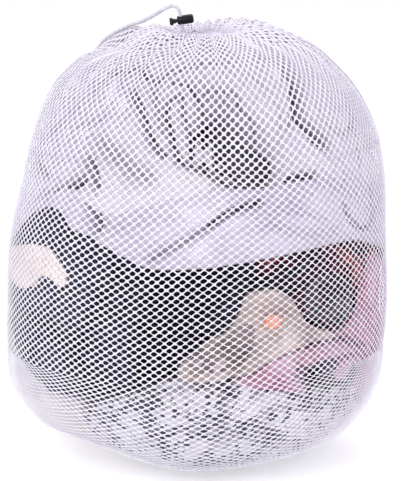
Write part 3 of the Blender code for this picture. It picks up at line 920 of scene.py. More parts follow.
def wrinkles(theta, arc, seed, size, length):
    """Soft ridges that wander, in four sizes."""
    rng = np.random.default_rng(seed)
    total = np.zeros_like(theta)
    u = theta * CLOTH_RADIUS
    for octave in range(4):
        wave = length / 1.7 ** octave
        for _ in range(3):
            lie = rng.uniform(0, pi)
            phase = rng.uniform(0, 2 * pi)
            bend = rng.uniform(0.3, 0.8) * wave
            warp = bend * np.sin((u * np.sin(lie) - arc * np.cos(lie)) * 2 * pi / (wave * 2.7) + phase)
            ridge = np.sin((u * np.cos(lie) + arc * np.sin(lie) + warp) * 2 * pi / wave + phase * 3)
            total = total + (1 - np.abs(ridge)) ** 2 * size / 1.6 ** octave / 3
    return total


def fold_depth(theta, arc, folds):
    """How deep creases cut in, and how much shade is painted into them.
    Each is a line of azimuths and heights, its depth, its width and the strength of its painted shade."""
    total = np.zeros_like(theta)
    shade = np.zeros_like(theta)
    radius = np.interp(arc, ARC, RADIUS)
    # dark is how strongly shade is painted into the colour along the crease
    for line, depth, width, dark in folds:
        points = np.array([tuple(p) for p in smooth_line(line, 5)])
        turn = np.radians(points[:, 0])
        along = arc_at(points[:, 1])
        nearest = np.full(theta.shape, 1.0)
        for i in range(len(points) - 1):
            du = ((theta - turn[i] + pi) % (2 * pi) - pi) * radius
            dv = arc - along[i]
            su = (turn[i + 1] - turn[i]) * radius
            sv = along[i + 1] - along[i]
            t = np.clip((du * su + dv * sv) / (su ** 2 + sv ** 2 + 1e-12), 0, 1)
            nearest = np.minimum(nearest, np.hypot(du - t * su, dv - t * sv))
        total = np.maximum(total, depth * np.exp(-(nearest / width) ** 1.6))
        shade = np.maximum(shade, dark * np.exp(-(nearest / width / 0.85) ** 2))
    return total, shade


def wandering_folds(seed, count, turns, heights, depth, width, strongest_shade=0.9, reach=0.08):
    """Creases with no set place, for the sides and the back."""
    rng = np.random.default_rng(seed)
    folds = []
    for _ in range(count):
        az = rng.uniform(*turns)
        height = rng.uniform(*heights)
        heading = rng.uniform(0, 2 * pi)
        line = []
        for _ in range(5):
            line.append((az, float(np.clip(height, *FOLD_HEIGHTS))))
            az += np.degrees(cos(heading) * reach / 4 / FOLD_RADIUS)
            height += sin(heading) * reach / 4
            heading += rng.uniform(-0.5, 0.5)
        folds.append((line, rng.uniform(*depth), rng.uniform(*width), rng.uniform(0.0, strongest_shade)))
    return folds


def lump_faces(rows, cols, whole):
    """Faces of a closed lump: an outer grid of points, then an inner one."""
    flat = np.arange(rows * cols).reshape(rows, cols)
    if whole:
        flat = np.concatenate([flat, flat[:, :1]], 1)
    back = flat + rows * cols

    def grid(index):
        quads = np.stack([index[:-1, :-1], index[:-1, 1:], index[1:, 1:], index[1:, :-1]], -1)
        return quads.reshape(-1, 4)

    def wall(a, b):
        return np.stack([a[:-1], b[:-1], b[1:], a[1:]], -1)

    faces = [grid(flat), grid(back)[:, ::-1], wall(flat[0], back[0]), wall(flat[-1], back[-1])[:, ::-1]]
    if not whole:
        faces += [wall(flat[:, 0], back[:, 0])[:, ::-1], wall(flat[:, -1], back[:, -1])]
    return np.concatenate(faces)


def garment(name, slot, ends, lower, upper, nodes, seed, crease=0.003, length=0.07, base=LOAD_DEPTH,
            folds=(), fill=0.4, roll=0.004, end_roll=0.004, thick=LUMP_THICKNESS, look=None, front=False):
    """What one crumpled lump of cloth is like, between two lines round the bag."""
    start, stop = np.radians(ends)
    whole = stop - start > 2 * pi - 0.01
    columns = COARSE_STEP * max(4, int((stop - start) * GRID_RADIUS / CLOTH_GRID / COARSE_STEP))
    theta = np.linspace(start, stop, columns + 1)
    if whole:
        theta = theta[:-1]
    low = border_at(theta, lower)
    high = border_at(theta, upper)
    rows = COARSE_STEP * max(3, int((high - low).max() / CLOTH_GRID / COARSE_STEP))
    t = np.linspace(0, 1, rows + 1)
    arc = low[None, :] + (high - low)[None, :] * t[:, None]
    turn = np.broadcast_to(theta[None, :], arc.shape).copy()
    edge = np.minimum(arc - low[None, :], high[None, :] - arc)
    if not whole:
        radius = np.interp(arc, ARC, RADIUS)
        ends_far = np.minimum(turn - start, stop - turn) * np.clip(radius, 0.03, None)
        edge = np.minimum(edge, ends_far * roll / end_roll)
    cut, gap = fold_depth(turn, arc, folds)
    depth = base + wrinkles(turn, arc, seed, crease, length) + cut
    depth = depth + roll - np.sqrt(np.clip(roll ** 2 - (roll - np.clip(edge, 0, roll)) ** 2, 0, None))
    return {
        "name": name + "_cloth", "slot": slot, "look": look or slot, "nodes": nodes, "fill": fill,
        "whole": whole, "turn": turn, "arc": arc, "depth": depth, "thick": thick + roll, "edge": edge,
        "gap": gap, "front": front,
    }


def swelling_cloth(lump):
    """A coarse copy of a lump with Blender's Cloth on it, its inside held."""
    step = COARSE_STEP
    turn = lump["turn"][::step, ::step]
    arc = lump["arc"][::step, ::step]
    depth = lump["depth"][::step, ::step]
    outer = skin(turn, arc, -depth).reshape(-1, 3)
    inner = skin(turn, arc, -np.maximum(depth + 0.006, lump["thick"])).reshape(-1, 3)
    faces = lump_faces(*arc.shape, lump["whole"])
    obj = mesh_piece("sim_" + lump["name"], np.concatenate([outer, inner]), faces, LOOKS[lump["slot"]])
    held = obj.vertex_groups.new(name="held")
    held.add(range(len(outer), 2 * len(outer)), 1.0, "REPLACE")
    cloth = obj.modifiers.new("Cloth", "CLOTH")
    settings = cloth.settings
    settings.quality = 4
    settings.mass = 0.2
    settings.tension_stiffness = 12
    settings.compression_stiffness = 12
    settings.shear_stiffness = 4
    settings.bending_stiffness = 0.05
    settings.use_pressure = True
    settings.uniform_pressure_force = 0.6
    settings.shrink_min = -CLOTH_GROWTH
    settings.vertex_group_mass = "held"
    settings.effector_weights.gravity = 0
    settings.air_damping = 2
    cloth.collision_settings.use_collision = False
    return obj, outer


def crumple(lumps):
    """Runs the cloth of every garment at once, and takes how each point moved."""
    trials = [swelling_cloth(lump) for lump in lumps]
    scene = bpy.context.scene
    for frame_number in range(1, SIMULATION_FRAMES + 1):
        scene.frame_set(frame_number)
    graph = bpy.context.evaluated_depsgraph_get()
    for lump, (obj, before) in zip(lumps, trials):
        moved = obj.evaluated_get(graph)
        after = np.empty(len(moved.data.vertices) * 3, np.float32)
        moved.data.vertices.foreach_get("co", after)
        shift = after.reshape(-1, 3)[: len(before)] - before
        lump["shift"] = shift.reshape(*lump["arc"][::COARSE_STEP, ::COARSE_STEP].shape, 3)
    for obj, _ in trials:
        mesh = obj.data
        bpy.data.objects.remove(obj)
        bpy.data.meshes.remove(mesh)
    scene.frame_set(1)


def spread_rows(values, count):
    """Linear interpolation of rows to a larger number of rows."""
    place = np.linspace(0, len(values) - 1, count)
    low = np.minimum(place.astype(int), len(values) - 2)
    part = (place - low).reshape(-1, *([1] * (values.ndim - 1)))
    return values[low] * (1 - part) + values[low + 1] * part


def finish_garment(lump):
    """The garment's own mesh: its folds, and what the simulation did to it within the cap."""
    turn, arc, depth = lump["turn"], lump["arc"], lump["depth"]
    if "shift" in lump:
        shift = lump["shift"]
        if lump["whole"]:
            shift = np.concatenate([shift, shift[:, :1]], 1)
        wide = turn.shape[1] + (1 if lump["whole"] else 0)
        shift = spread_rows(spread_rows(shift, turn.shape[0]).swapaxes(0, 1), wide).swapaxes(0, 1)
        shift = shift[:, : turn.shape[1]]
        normal = skin(turn, arc, 0.001) - skin(turn, arc, 0.0)
        normal = normal / np.linalg.norm(normal, axis=-1, keepdims=True)
        bulge = (shift * normal).sum(-1)
        bulge = np.clip(bulge - np.percentile(bulge, 75), -BULGE_CAP, BULGE_CAP)
        free = smoothstep(lump["edge"] / 0.008)
        depth = depth - bulge * free
    depth = np.clip(depth, *FRONT_DEPTHS) if lump["front"] else np.maximum(depth, CLEAR_OF_NET)
    outer = skin(turn, arc, -depth)
    inner = skin(turn, arc, -np.maximum(depth + 0.003, lump["thick"]))
    points = np.concatenate([outer.reshape(-1, 3), inner.reshape(-1, 3)])
    faces = lump_faces(*arc.shape, lump["whole"])
    spot = np.stack([turn.ravel() * CLOTH_RADIUS, arc.ravel()], 1)
    # the painted shade of the creases, the same for the outer and the inner points
    gap = lump["gap"].ravel()
    both = [np.concatenate([part, part]) for part in (spot, gap)]
    obj = mesh_piece(lump["name"], points, faces, LOOKS[lump["look"]], *both)
    on_body(obj, "bag", lump["slot"], *lump["nodes"])


# Lines between the garments, azimuth in degrees and height, from the left round the front to the back.
BAND_TOP = [
    (-190, 0.300), (-170, 0.292), (-150, 0.312), (-128, 0.306), (-110, 0.282), (-85, 0.262), (-66, 0.268),
    (-54, 0.280), (-46, 0.287), (-38, 0.280), (-27, 0.271), (-15, 0.283), (-5, 0.289), (2, 0.295),
    (19, 0.295), (30, 0.298), (47, 0.297), (68, 0.285), (86, 0.272), (104, 0.280), (126, 0.306),
    (148, 0.316), (170, 0.300), (190, 0.292), (210, 0.312), (250, 0.282),
]
BAND_BOTTOM = [
    (-190, 0.214), (-172, 0.206), (-150, 0.232), (-130, 0.244), (-110, 0.226), (-90, 0.215), (-74, 0.235),
    (-63, 0.256), (-54, 0.266), (-47, 0.262), (-42, 0.250), (-37, 0.248), (-23, 0.232), (-14, 0.222),
    (0, 0.223), (14, 0.228), (30, 0.233), (49, 0.235), (58, 0.231), (66, 0.223), (80, 0.212),
    (96, 0.203), (112, 0.214),
    (130, 0.238), (148, 0.243), (170, 0.214), (188, 0.206), (210, 0.232), (250, 0.226),
]
NAVY_BOTTOM = [
    (-190, 0.146), (-172, 0.150), (-150, 0.118), (-130, 0.104), (-112, 0.116), (-96, 0.140), (-84, 0.141),
    (-75, 0.127), (-55, 0.098), (-45, 0.090), (-26, 0.097), (-14, 0.113), (-6, 0.134),
    (0, 0.152), (5, 0.161), (9, 0.170), (12, 0.188), (14, 0.202), (20, 0.206), (24, 0.224),
]
MAROON_BOTTOM = [
    (15, 0.224), (20, 0.205), (24, 0.204), (28, 0.197), (31, 0.183), (34, 0.170), (41, 0.161), (47, 0.154),
    (52, 0.159), (56, 0.182), (60, 0.206), (66, 0.215), (76, 0.212), (86, 0.196), (100, 0.168),
    (116, 0.150), (134, 0.152), (152, 0.174), (172, 0.160),
]
BEIGE_TOP = [
    (-6, 0.131), (0, 0.149), (5, 0.158), (9, 0.167), (12, 0.185), (14, 0.199), (20, 0.202), (24, 0.200),
    (28, 0.193), (31, 0.179), (34, 0.166), (40, 0.156), (46, 0.149),
]
BEIGE_BOTTOM = [
    (-6, 0.118), (4, 0.116), (15, 0.122), (24, 0.136), (35, 0.143), (46, 0.145),
]
PINK_TOP = [
    (10, 0.115), (15, 0.120), (24, 0.134), (35, 0.141), (46, 0.149), (52, 0.157), (56, 0.180),
    (60, 0.204), (66, 0.213), (76, 0.210), (86, 0.194), (100, 0.168), (116, 0.150), (134, 0.152),
    (152, 0.174), (172, 0.160),
]
PINK_BOTTOM = [
    (10, 0.112), (25, 0.102), (36, 0.096), (50, 0.098), (62, 0.082), (72, 0.062), (84, 0.056), (98, 0.078),
    (116, 0.108), (134, 0.112), (150, 0.090), (172, 0.104),
]
DRESS_TOP = [
    (-38, 0.076), (-26, 0.093), (-14, 0.110), (-4, 0.117), (6, 0.114), (15, 0.110), (25, 0.100),
    (36, 0.096), (50, 0.098), (62, 0.082), (72, 0.062), (84, 0.056), (98, 0.078), (116, 0.108),
    (134, 0.112), (150, 0.090), (170, 0.104), (180, 0.140), (188, 0.150), (200, 0.130),
]
TOWEL_TOP = [
    (-161, 0.135), (-150, 0.118), (-130, 0.104), (-112, 0.116), (-96, 0.140), (-84, 0.141), (-75, 0.127),
    (-55, 0.098), (-45, 0.090), (-38, 0.085),
]

# Creases: a line of azimuths and heights, its depth, its width and how much shade is painted in it.
TOP_FOLDS = [
    ([(-44, 0.393), (-38, 0.397), (-31, 0.400)], 0.017, 0.0042, 1.0),
    ([(-31, 0.399), (-23, 0.392), (-18, 0.398), (-12, 0.403), (-3, 0.407), (10, 0.406)], 0.013, 0.0030, 0.8),
    ([(-30, 0.380), (-25, 0.367), (-21, 0.350), (-17, 0.334), (-13, 0.325)], 0.016, 0.0036, 0.9),
    ([(-22, 0.386), (-19, 0.372), (-17, 0.358), (-14, 0.345)], 0.008, 0.0034, 0.5),
    ([(-10, 0.381), (-14, 0.374), (-15, 0.364), (-12, 0.347), (-10, 0.332), (-8, 0.322)], 0.016, 0.0036, 1.0),
    ([(-9, 0.376), (-8, 0.363), (-5, 0.347), (-4, 0.335)], 0.013, 0.0030, 0.7),
    ([(-14, 0.392), (-7, 0.390), (-3, 0.377), (-1, 0.364), (-1, 0.345)], 0.013, 0.0036, 0.8),
    ([(0, 0.383), (11, 0.382), (13, 0.368), (17, 0.355), (18, 0.338), (17, 0.321)], 0.012, 0.0034, 0.7),
    ([(-9, 0.323), (-4, 0.316), (1, 0.311), (6, 0.303), (11, 0.297), (19, 0.295)], 0.015, 0.0034, 0.9),
    ([(-41, 0.315), (-38, 0.304), (-36, 0.294)], 0.014, 0.0070, 0.75),
    ([(-37, 0.332), (-30, 0.322), (-24, 0.312), (-18, 0.305)], 0.010, 0.0110, 0.45),
    ([(-63, 0.266), (-54, 0.279), (-48, 0.288), (-42, 0.297)], 0.016, 0.0060, 0.9),
    ([(-50, 0.345), (-44, 0.350), (-37, 0.358)], 0.007, 0.0040, 0.2),
    ([(34, 0.413), (39, 0.404), (40, 0.392)], 0.016, 0.0070, 0.65),
    ([(40, 0.392), (39, 0.380), (37, 0.369), (36, 0.354), (40, 0.342), (45, 0.330)], 0.020, 0.0075, 1.0),
    ([(36, 0.372), (33, 0.362), (31, 0.350)], 0.008, 0.0050, 0.3),
    ([(28, 0.3000), (32, 0.302), (38, 0.301)], 0.016, 0.0042, 1.0),
    ([(20, 0.395), (25, 0.380), (27, 0.362), (26, 0.340), (24, 0.318)], 0.005, 0.0050, 0.2),
    ([(-66, 0.330), (-60, 0.345), (-52, 0.372), (-45, 0.385)], 0.008, 0.0050, 0.3),
    ([(48, 0.345), (56, 0.335), (66, 0.340), (74, 0.352)], 0.007, 0.0040, 0.2),
    ([(64, 0.300), (67, 0.330), (64, 0.352)], 0.007, 0.0024, 0.8),
]
BAND_FOLDS = [
    ([(-41, 0.290), (-37, 0.276), (-34, 0.266), (-33, 0.254)], 0.015, 0.0070, 0.85),
    ([(-36, 0.262), (-30, 0.258)], 0.008, 0.0060, 0.3),
    ([(48, 0.271), (52, 0.253), (60, 0.242), (65, 0.253), (67, 0.276), (66, 0.290)], 0.009, 0.0024, 0.7),
    ([(3, 0.263), (7, 0.271), (11, 0.277), (18, 0.282)], 0.014, 0.0036, 0.95),
    ([(-14, 0.231), (-5, 0.247), (3, 0.262)], 0.007, 0.0046, 0.45),
    ([(-30, 0.250), (-20, 0.262), (-8, 0.270)], 0.005, 0.0070, 0.15),
    ([(22, 0.262), (32, 0.250), (44, 0.246)], 0.006, 0.0080, 0.15),
    ([(24, 0.275), (34, 0.268), (40, 0.258)], 0.005, 0.0060, 0.10),
]
# A hollow round the grey vest: a real dip in the cloth, with shade painted into the white shirt's colour over
# it.
VEST_HOLLOW = [
    ([(4, 0.356), (10, 0.342), (15, 0.322), (17, 0.308)], 0.013, 0.0260, 0.78),
    ([(1, 0.376), (7, 0.370), (11, 0.355)], 0.006, 0.0160, 0.50),
]
VEST_TOP = [(-6, 0.335), (-2, 0.350), (3, 0.354), (8, 0.348), (13, 0.337), (18, 0.327), (23, 0.314)]
VEST_BOTTOM = [(-6, 0.327), (-2, 0.317), (3, 0.312), (8, 0.305), (13, 0.299), (18, 0.300), (23, 0.306)]
COLLAR_BOTTOM = [
    (-78, 0.186), (-66, 0.182), (-62, 0.183), (-55, 0.191), (-51, 0.202), (-47, 0.202),
    (-42, 0.197), (-40, 0.201),
]
COLLAR_TOP = [(-78, 0.214), (-62, 0.226), (-57, 0.229), (-49, 0.229), (-44, 0.220), (-40, 0.210)]
MOTTLE_TOP = [(31, 0.192), (35, 0.204), (41, 0.208), (48, 0.204), (53, 0.190)]
MOTTLE_BOTTOM = [(31, 0.184), (34, 0.172), (41, 0.162), (48, 0.157), (53, 0.168)]
# Where the beige blouse lies in shade, drawn in the darker copy of its linen as painted shade.
SHADED_BEIGE_TOP = [(-3, 0.138), (3, 0.152), (7, 0.160), (10, 0.167), (13, 0.173), (17, 0.168)]
SHADED_BEIGE_BOTTOM = [(-3, 0.124), (3, 0.124), (9, 0.128), (13, 0.134), (17, 0.152)]
MOTIF_TOP = [(18, 0.172), (20, 0.178), (23, 0.178), (25, 0.172)]
MOTIF_BOTTOM = [(18, 0.170), (20, 0.166), (23, 0.166), (25, 0.170)]
SLATE_TOP = [(34, 0.115), (42, 0.122), (50, 0.120), (58, 0.108)]
SLATE_BOTTOM = [(34, 0.104), (42, 0.096), (50, 0.092), (58, 0.096)]


def laundry():
    back = (75, 285)
    azimuths, arcs = side_curve(BAND_TOP)
    whites_bottom = (azimuths, arcs - OVERLAP)
    whites = TOP_FOLDS + wandering_folds(31, 34, back, (0.295, 0.412), (0.006, 0.015), (0.003, 0.009), 0.75)
    band = BAND_FOLDS + wandering_folds(32, 16, back, (0.235, 0.290), (0.004, 0.011), (0.003, 0.006))
    navy = wandering_folds(33, 20, (150, 375), (0.130, 0.225), (0.004, 0.010), (0.004, 0.009))
    low = wandering_folds(34, 34, (-40, 200), (0.03, 0.11), (0.003, 0.009), (0.003, 0.006))
    towel = wandering_folds(35, 16, (200, 322), (0.03, 0.11), (0.003, 0.009), (0.004, 0.007), 0.45)
    side = wandering_folds(36, 20, (20, 172), (0.10, 0.225), (0.003, 0.010), (0.003, 0.007))
    top_cloth = {"crease": 0.0042, "folds": whites + VEST_HOLLOW, "roll": 0.002, "end_roll": 0.002}
    patch = {"base": 0.0009, "thick": 0.008, "fill": 0.3, "crease": 0.002}
    lumps = [
        garment("printed_dress", "printed_cotton", (-37.5, 199), 0.012, DRESS_TOP,
                ["printed_dress"], 1, length=0.06, folds=low),
        garment("cream_towel", "cream_terry", (-160, -38.5), 0.012, TOWEL_TOP,
                ["cream_towel"], 2, folds=towel),
        garment("navy_sweater", "navy_knit", (-187, 23), NAVY_BOTTOM, BAND_BOTTOM,
                ["navy_sweater"], 3, length=0.09, folds=navy),
        garment("maroon_cardigan", "maroon_knit", (16, 172), MAROON_BOTTOM,
                BAND_BOTTOM, ["maroon_cardigan"], 4, folds=side),
        garment("beige_blouse", "beige_linen", (-5.5, 45), BEIGE_BOTTOM,
                BEIGE_TOP, ["beige_blouse"], 5, folds=side),
        garment("pink_top", "pink_jersey", (11, 172), PINK_BOTTOM, PINK_TOP,
                ["pink_top"], 6, folds=side),
        garment("white_pillowcase", "white_cotton", (-180, 180), BAND_BOTTOM,
                BAND_TOP, ["white_pillowcase"], 7, crease=0.0025, length=0.09, folds=band,
                look="pillowcase"),
        garment("rolled_white_shirt", "white_cotton", (-97, 3), whites_bottom, WELL_ARC,
                ["rolled_white_shirt"], 8, **top_cloth),
        garment("white_shirt", "white_cotton", (-3, 266), whites_bottom, WELL_ARC,
                ["white_shirt"], 10, **top_cloth),
        # The grey vest's near-black colour is partly the vest's own dark grey, partly painted shade of the
        # deep fold it lies in.
        garment("grey_vest", "grey_jersey", (-5, 22), VEST_BOTTOM, VEST_TOP,
                ["grey_vest"], 9, base=0.0050, crease=0.003, length=0.04, thick=0.012, fill=0.3),
        garment("cream_collar", "cream_terry", (-77, -40.5), COLLAR_BOTTOM,
                COLLAR_TOP, [], 11, base=0.0008, thick=0.008, fill=0.3, crease=0.0012, look="peach",
                front=True),
        garment("mottled_sleeve", "grey_jersey", (32, 52.5), MOTTLE_BOTTOM,
                MOTTLE_TOP, [], 12, **patch),
        # the beige blouse's shaded part, its darkness painted shade
        garment("shaded_beige_patch", "beige_linen", (-2.5, 16.5), SHADED_BEIGE_BOTTOM,
                SHADED_BEIGE_TOP, [], 13, **patch, look="beige_painted_shade"),
        garment("coral_motif", "pink_jersey", (19, 24), MOTIF_BOTTOM, MOTIF_TOP,
                [], 15, base=0.0008, thick=0.005, fill=0.3, crease=0.0006, roll=0.0015, look="coral",
                front=True),
        garment("slate_pocket", "grey_jersey", (35, 57), SLATE_BOTTOM,
                SLATE_TOP, [], 14, **patch),
    ]
    crumple(lumps)
    for lump in lumps:
        finish_garment(lump)


# ---------------------------------------------------------------- seams, hem and tacks

OVERLOCK_HALF = 0.0034
OVERLOCK_RISE = 0.0007
THREAD = 0.00028
STITCH_STEP = 0.0036
RIBBON_SIDES = 12
SEAM_STEP = 0.0012
FLOOR_SEAM_ARC = 0.03  # nearer the middle the seam is laid straight, by length and not by azimuth
THREAD_FROM_ARC = 0.05


def thread_piece(name, line, radius=THREAD):
    points, faces, spots = sweep(line, lambda angle, along: np.full_like(angle, radius), 6)
    obj = mesh_piece(name, points, faces, LOOKS["binding"], spots)
    return on_body(obj, "bag", "binding")


def seam_lift(arc):
    """The overlocked edge sinks into the load where the bag stands on it."""
    return -0.0008 * (1 - smoothstep((np.interp(arc, ARC, HEIGHT) - 0.004) / 0.02))


def seam_ribbon(name, path, node_name):
    """An overlocked edge along a path of azimuths and arcs, with its thread zigzagging over it."""
    turn, arc = path
    angle = np.arange(RIBBON_SIDES) * 2 * pi / RIBBON_SIDES
    across = OVERLOCK_HALF * np.sign(np.cos(angle)) * np.abs(np.cos(angle)) ** 0.7
    rise = OVERLOCK_RISE * np.sin(angle)
    radius = np.clip(np.interp(arc, ARC, RADIUS), 0.004, None)
    on_floor = arc[:, None] < FLOOR_SEAM_ARC
    theta = np.where(on_floor, turn[:, None], turn[:, None] + across / radius[:, None])
    ripple = 1 + 0.18 * np.sin(arc * 2 * pi / STITCH_STEP)
    rings = skin(theta, arc[:, None], rise * ripple[:, None] + seam_lift(arc)[:, None])
    rings[..., 1] -= np.where(on_floor, across, 0.0)
    points = np.concatenate([rings.reshape(-1, 3), rings[:1].mean(1), rings[-1:].mean(1)])
    faces = [group[:, ::-1] for group in tube_faces(len(arc), RIBBON_SIDES)]
    walk = np.concatenate([[0], np.cumsum(np.linalg.norm(np.diff(rings.mean(1), axis=0), axis=1))])
    spots = np.stack([np.tile(angle * 0.001, len(arc)), np.repeat(walk, RIBBON_SIDES)], 1)
    spots = np.concatenate([spots, [[0, 0], [0, walk[-1]]]])
    obj = mesh_piece(name + "_tape", points, faces, LOOKS["binding"], spots)
    on_body(obj, "bag", "binding", node_name)

    stitches = int(walk[-1] / STITCH_STEP) * 2
    zigzag = []
    for i in range(stitches + 1):
        here = walk[-1] * i / stitches
        a = float(np.interp(here, walk, arc))
        if a < THREAD_FROM_ARC:
            continue
        t = float(np.interp(here, walk, turn))
        r = float(np.interp(a, ARC, RADIUS))
        way = 1 if i % 2 else -1
        for part in (-1.0, -0.4, 0.4, 1.0):
            height = (OVERLOCK_RISE + THREAD * 0.5) * (1 - 0.75 * abs(part) ** 3) + seam_lift(a)
            spot = skin(t + way * part * OVERLOCK_HALF / r, a + part * STITCH_STEP * 0.2, height)
            zigzag.append(Vector(spot + 0.0))
    return zigzag


def seams():
    corner = float(arc_at(CORNER_HEIGHT))
    end = TOP_ARC - 0.004
    steps = int((end - corner) / SEAM_STEP)
    for name, side in (("left", -1), ("right", 1)):
        arc = np.linspace(corner, end, steps)
        turn = np.full(steps, side * pi / 2)
        zigzag = seam_ribbon(f"side_seam_{name}", (turn, arc), f"side_seam_{name}")
        thread_piece(f"side_seam_{name}_thread", zigzag)
    half = int(corner / SEAM_STEP)
    arc = np.concatenate([np.linspace(corner, 0.0005, half), np.linspace(0.0005, corner, half)])
    turn = np.concatenate([np.full(half, -pi / 2), np.full(half, pi / 2)])
    zigzag = seam_ribbon("bottom_seam", (turn, arc), "bottom_seam")
    left = [p for p in zigzag if p.x < 0]
    right = [p for p in zigzag if p.x > 0]
    thread_piece("bottom_seam_thread_left", left)
    thread_piece("bottom_seam_thread_right", right)


HEM_OUTER = 0.0056
HEM_INNER = 0.0034
HEM_PLEAT = 0.0011
HEM_SIDES = 20
SKIRT_WIDTH = 0.0075
SKIRT_RISE = 0.0010


def hem_tube(name, start, stop, node_name):
    """One half of the gathered channel: a soft hollow tube, pleated like the net below it."""
    phi = np.linspace(start, stop, int(abs(stop - start) / radians(1.1)))
    psi = np.arange(HEM_SIDES) * 2 * pi / HEM_SIDES
    turn = pleat_turn(phi[:, None] + pi / 2)
    facing = 0.6 + 0.4 * np.cos(psi)
    outer = HEM_OUTER + HEM_PLEAT * facing * np.sin(turn + 0.5 * np.sin(2 * psi))
    layers = []
    for radius in (outer, np.full_like(outer, HEM_INNER)):
        reach = NECK_RADIUS + radius * np.cos(psi)
        x = NECK.x + reach * np.cos(phi)[:, None]
        y = reach * np.sin(phi)[:, None]
        layers.append(np.stack([x, y, NECK.z + radius * np.sin(psi)], -1).reshape(-1, 3))
    rows, cols = outer.shape
    faces = lump_faces(rows, cols, True)[:, ::-1]
    spot = np.stack([np.repeat(phi * 0.02, cols), np.tile(psi * 0.006, rows)], 1)
    obj = mesh_piece(name, np.concatenate(layers), faces, LOOKS["binding"], np.concatenate([spot, spot]))
    on_body(obj, "bag", "binding", node_name)


def hem_skirt(name, start, stop):
    """The hem's sewn-down edge, which follows the pleats of the net under it."""
    theta = np.linspace(start, stop, 260)
    arcs = np.linspace(TOP_ARC - SKIRT_WIDTH, TOP_ARC, 6)
    layers = []
    for rise in (SKIRT_RISE, SKIRT_RISE - 0.0005):
        push = pleat_push(theta[None, :], np.full((6, 1), TOP_ARC - 0.004)) * 0.9 + rise
        rows = skin(theta[None, :], arcs[:, None], push)
        reach = NECK_RADIUS + HEM_OUTER - 0.0012 - (SKIRT_RISE - rise)
        last = np.stack([
            NECK.x + reach * np.sin(theta), -reach * np.cos(theta),
            np.full_like(theta, NECK.z - 0.0020 - (SKIRT_RISE - rise)),
        ], -1)
        layers.append(np.concatenate([rows, last[None]]))
    rows, cols = layers[0].shape[:2]
    faces = lump_faces(rows, cols, False)
    points = np.concatenate([layer.reshape(-1, 3) for layer in layers])
    spot = np.stack([np.tile(theta * 0.02, rows), np.repeat(np.arange(rows) * 0.0015, cols)], 1)
    obj = mesh_piece(name, points, faces, LOOKS["binding"], np.concatenate([spot, spot]))
    on_body(obj, "bag", "binding")
    stitch = []
    for i in range(cols):
        wave = 0.00035 * cos(i * 0.9)
        push = float(pleat_push(theta[i], TOP_ARC - 0.004)) * 0.9 + SKIRT_RISE + wave
        stitch.append(Vector(skin(theta[i], TOP_ARC - SKIRT_WIDTH * 0.75, push) + 0.0))
    thread_piece(name + "_thread", stitch, 0.00024)


def hem():
    hem_tube("hem_front", radians(180 + HEM_EXIT_ANGLE), radians(360 - HEM_SEAM_ANGLE), "hem_channel_front")
    hem_tube("hem_back", radians(HEM_SEAM_ANGLE), radians(180 - HEM_EXIT_ANGLE), "hem_channel_back")
    hem_skirt("hem_skirt_front", -pi / 2, pi / 2)
    hem_skirt("hem_skirt_back", pi / 2, 3 * pi / 2)


def exit_tacks():
    """Dense zigzag bars that close the hem's two ends beside the drawstring's exit."""
    for name, side in (("front", -1), ("back", 1)):
        angle = radians(180 - side * (HEM_EXIT_ANGLE + 7))
        outward = Vector((cos(angle), sin(angle), 0))
        along = Vector((-sin(angle), cos(angle), 0))
        line = []
        passes = 26
        for i in range(passes):
            reach = TACK_SIZE[1] * (i / (passes - 1) - 0.5)
            way = 1 if i % 2 else -1
            over = HEM_TUBE_RADIUS + 0.0007
            rise = np.sqrt(over ** 2 - reach ** 2)
            for part, drop in ((-1.0, 0.0005), (-0.5, 0.0), (0.5, 0.0), (1.0, 0.0005)):
                point = NECK + outward * (NECK_RADIUS + reach) + along * (way * part * TACK_SIZE[0] / 2)
                line.append(point + Vector((0, 0, rise - drop)))
        obj = thread_piece(f"exit_tack_{name}_thread", line, 0.00026)
        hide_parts(f"exit_tack_{name}")


# ---------------------------------------------------------------- cord lock

ROD_SIDES = 64
BARREL_RIM = 0.0022
TONGUE_RIM = 0.0004
BUTTON_RIM = 0.0014
BUTTON_SIZE = (0.0116, 0.0076)
HOLE_CORNER = 0.0012
SLOT_CORNER = 0.0010
OVERREACH = 0.0010  # how far the tongue runs into the button


def rounded(work, edges, size, steps):
    bmesh.ops.bevel(
        work, geom=edges, offset=size, segments=steps, profile=0.5, affect="EDGES", clamp_overlap=True,
    )


def oval_rod(start, end, width, height, rim=0.0):
    """A rod of oval section along X, its two end rims rounded."""
    work = bmesh.new()
    bmesh.ops.create_cone(
        work, cap_ends=True, segments=ROD_SIDES, radius1=0.5, radius2=0.5, depth=end - start,
    )
    bmesh.ops.rotate(work, cent=(0, 0, 0), matrix=Matrix.Rotation(pi / 2, 3, "Y"), verts=work.verts)
    bmesh.ops.scale(work, vec=(1, width, height), verts=work.verts)
    bmesh.ops.translate(work, vec=((start + end) / 2, 0, 0), verts=work.verts)
    if rim:
        ends = [e for e in work.edges if abs(e.verts[0].co.x - e.verts[1].co.x) < 1e-6]
        rounded(work, ends, rim, 6)
    return work


def rounded_block(low, high, corner):
    """A block with its four upright edges rounded."""
    work = bmesh.new()
    bmesh.ops.create_cube(work, size=1.0)
    size = [b - a for a, b in zip(low, high)]
    bmesh.ops.scale(work, vec=size, verts=work.verts)
    bmesh.ops.translate(work, vec=[(a + b) / 2 for a, b in zip(low, high)], verts=work.verts)
    upright = [e for e in work.edges if abs(e.verts[0].co.z - e.verts[1].co.z) > size[2] / 2]
    rounded(work, upright, corner, 5)
    return work


def work_object(name, work):
    mesh = bpy.data.meshes.new(name)
    work.to_mesh(mesh)
    work.free()
    obj = bpy.data.objects.new(name, mesh)
    bpy.context.scene.collection.objects.link(obj)
    return obj


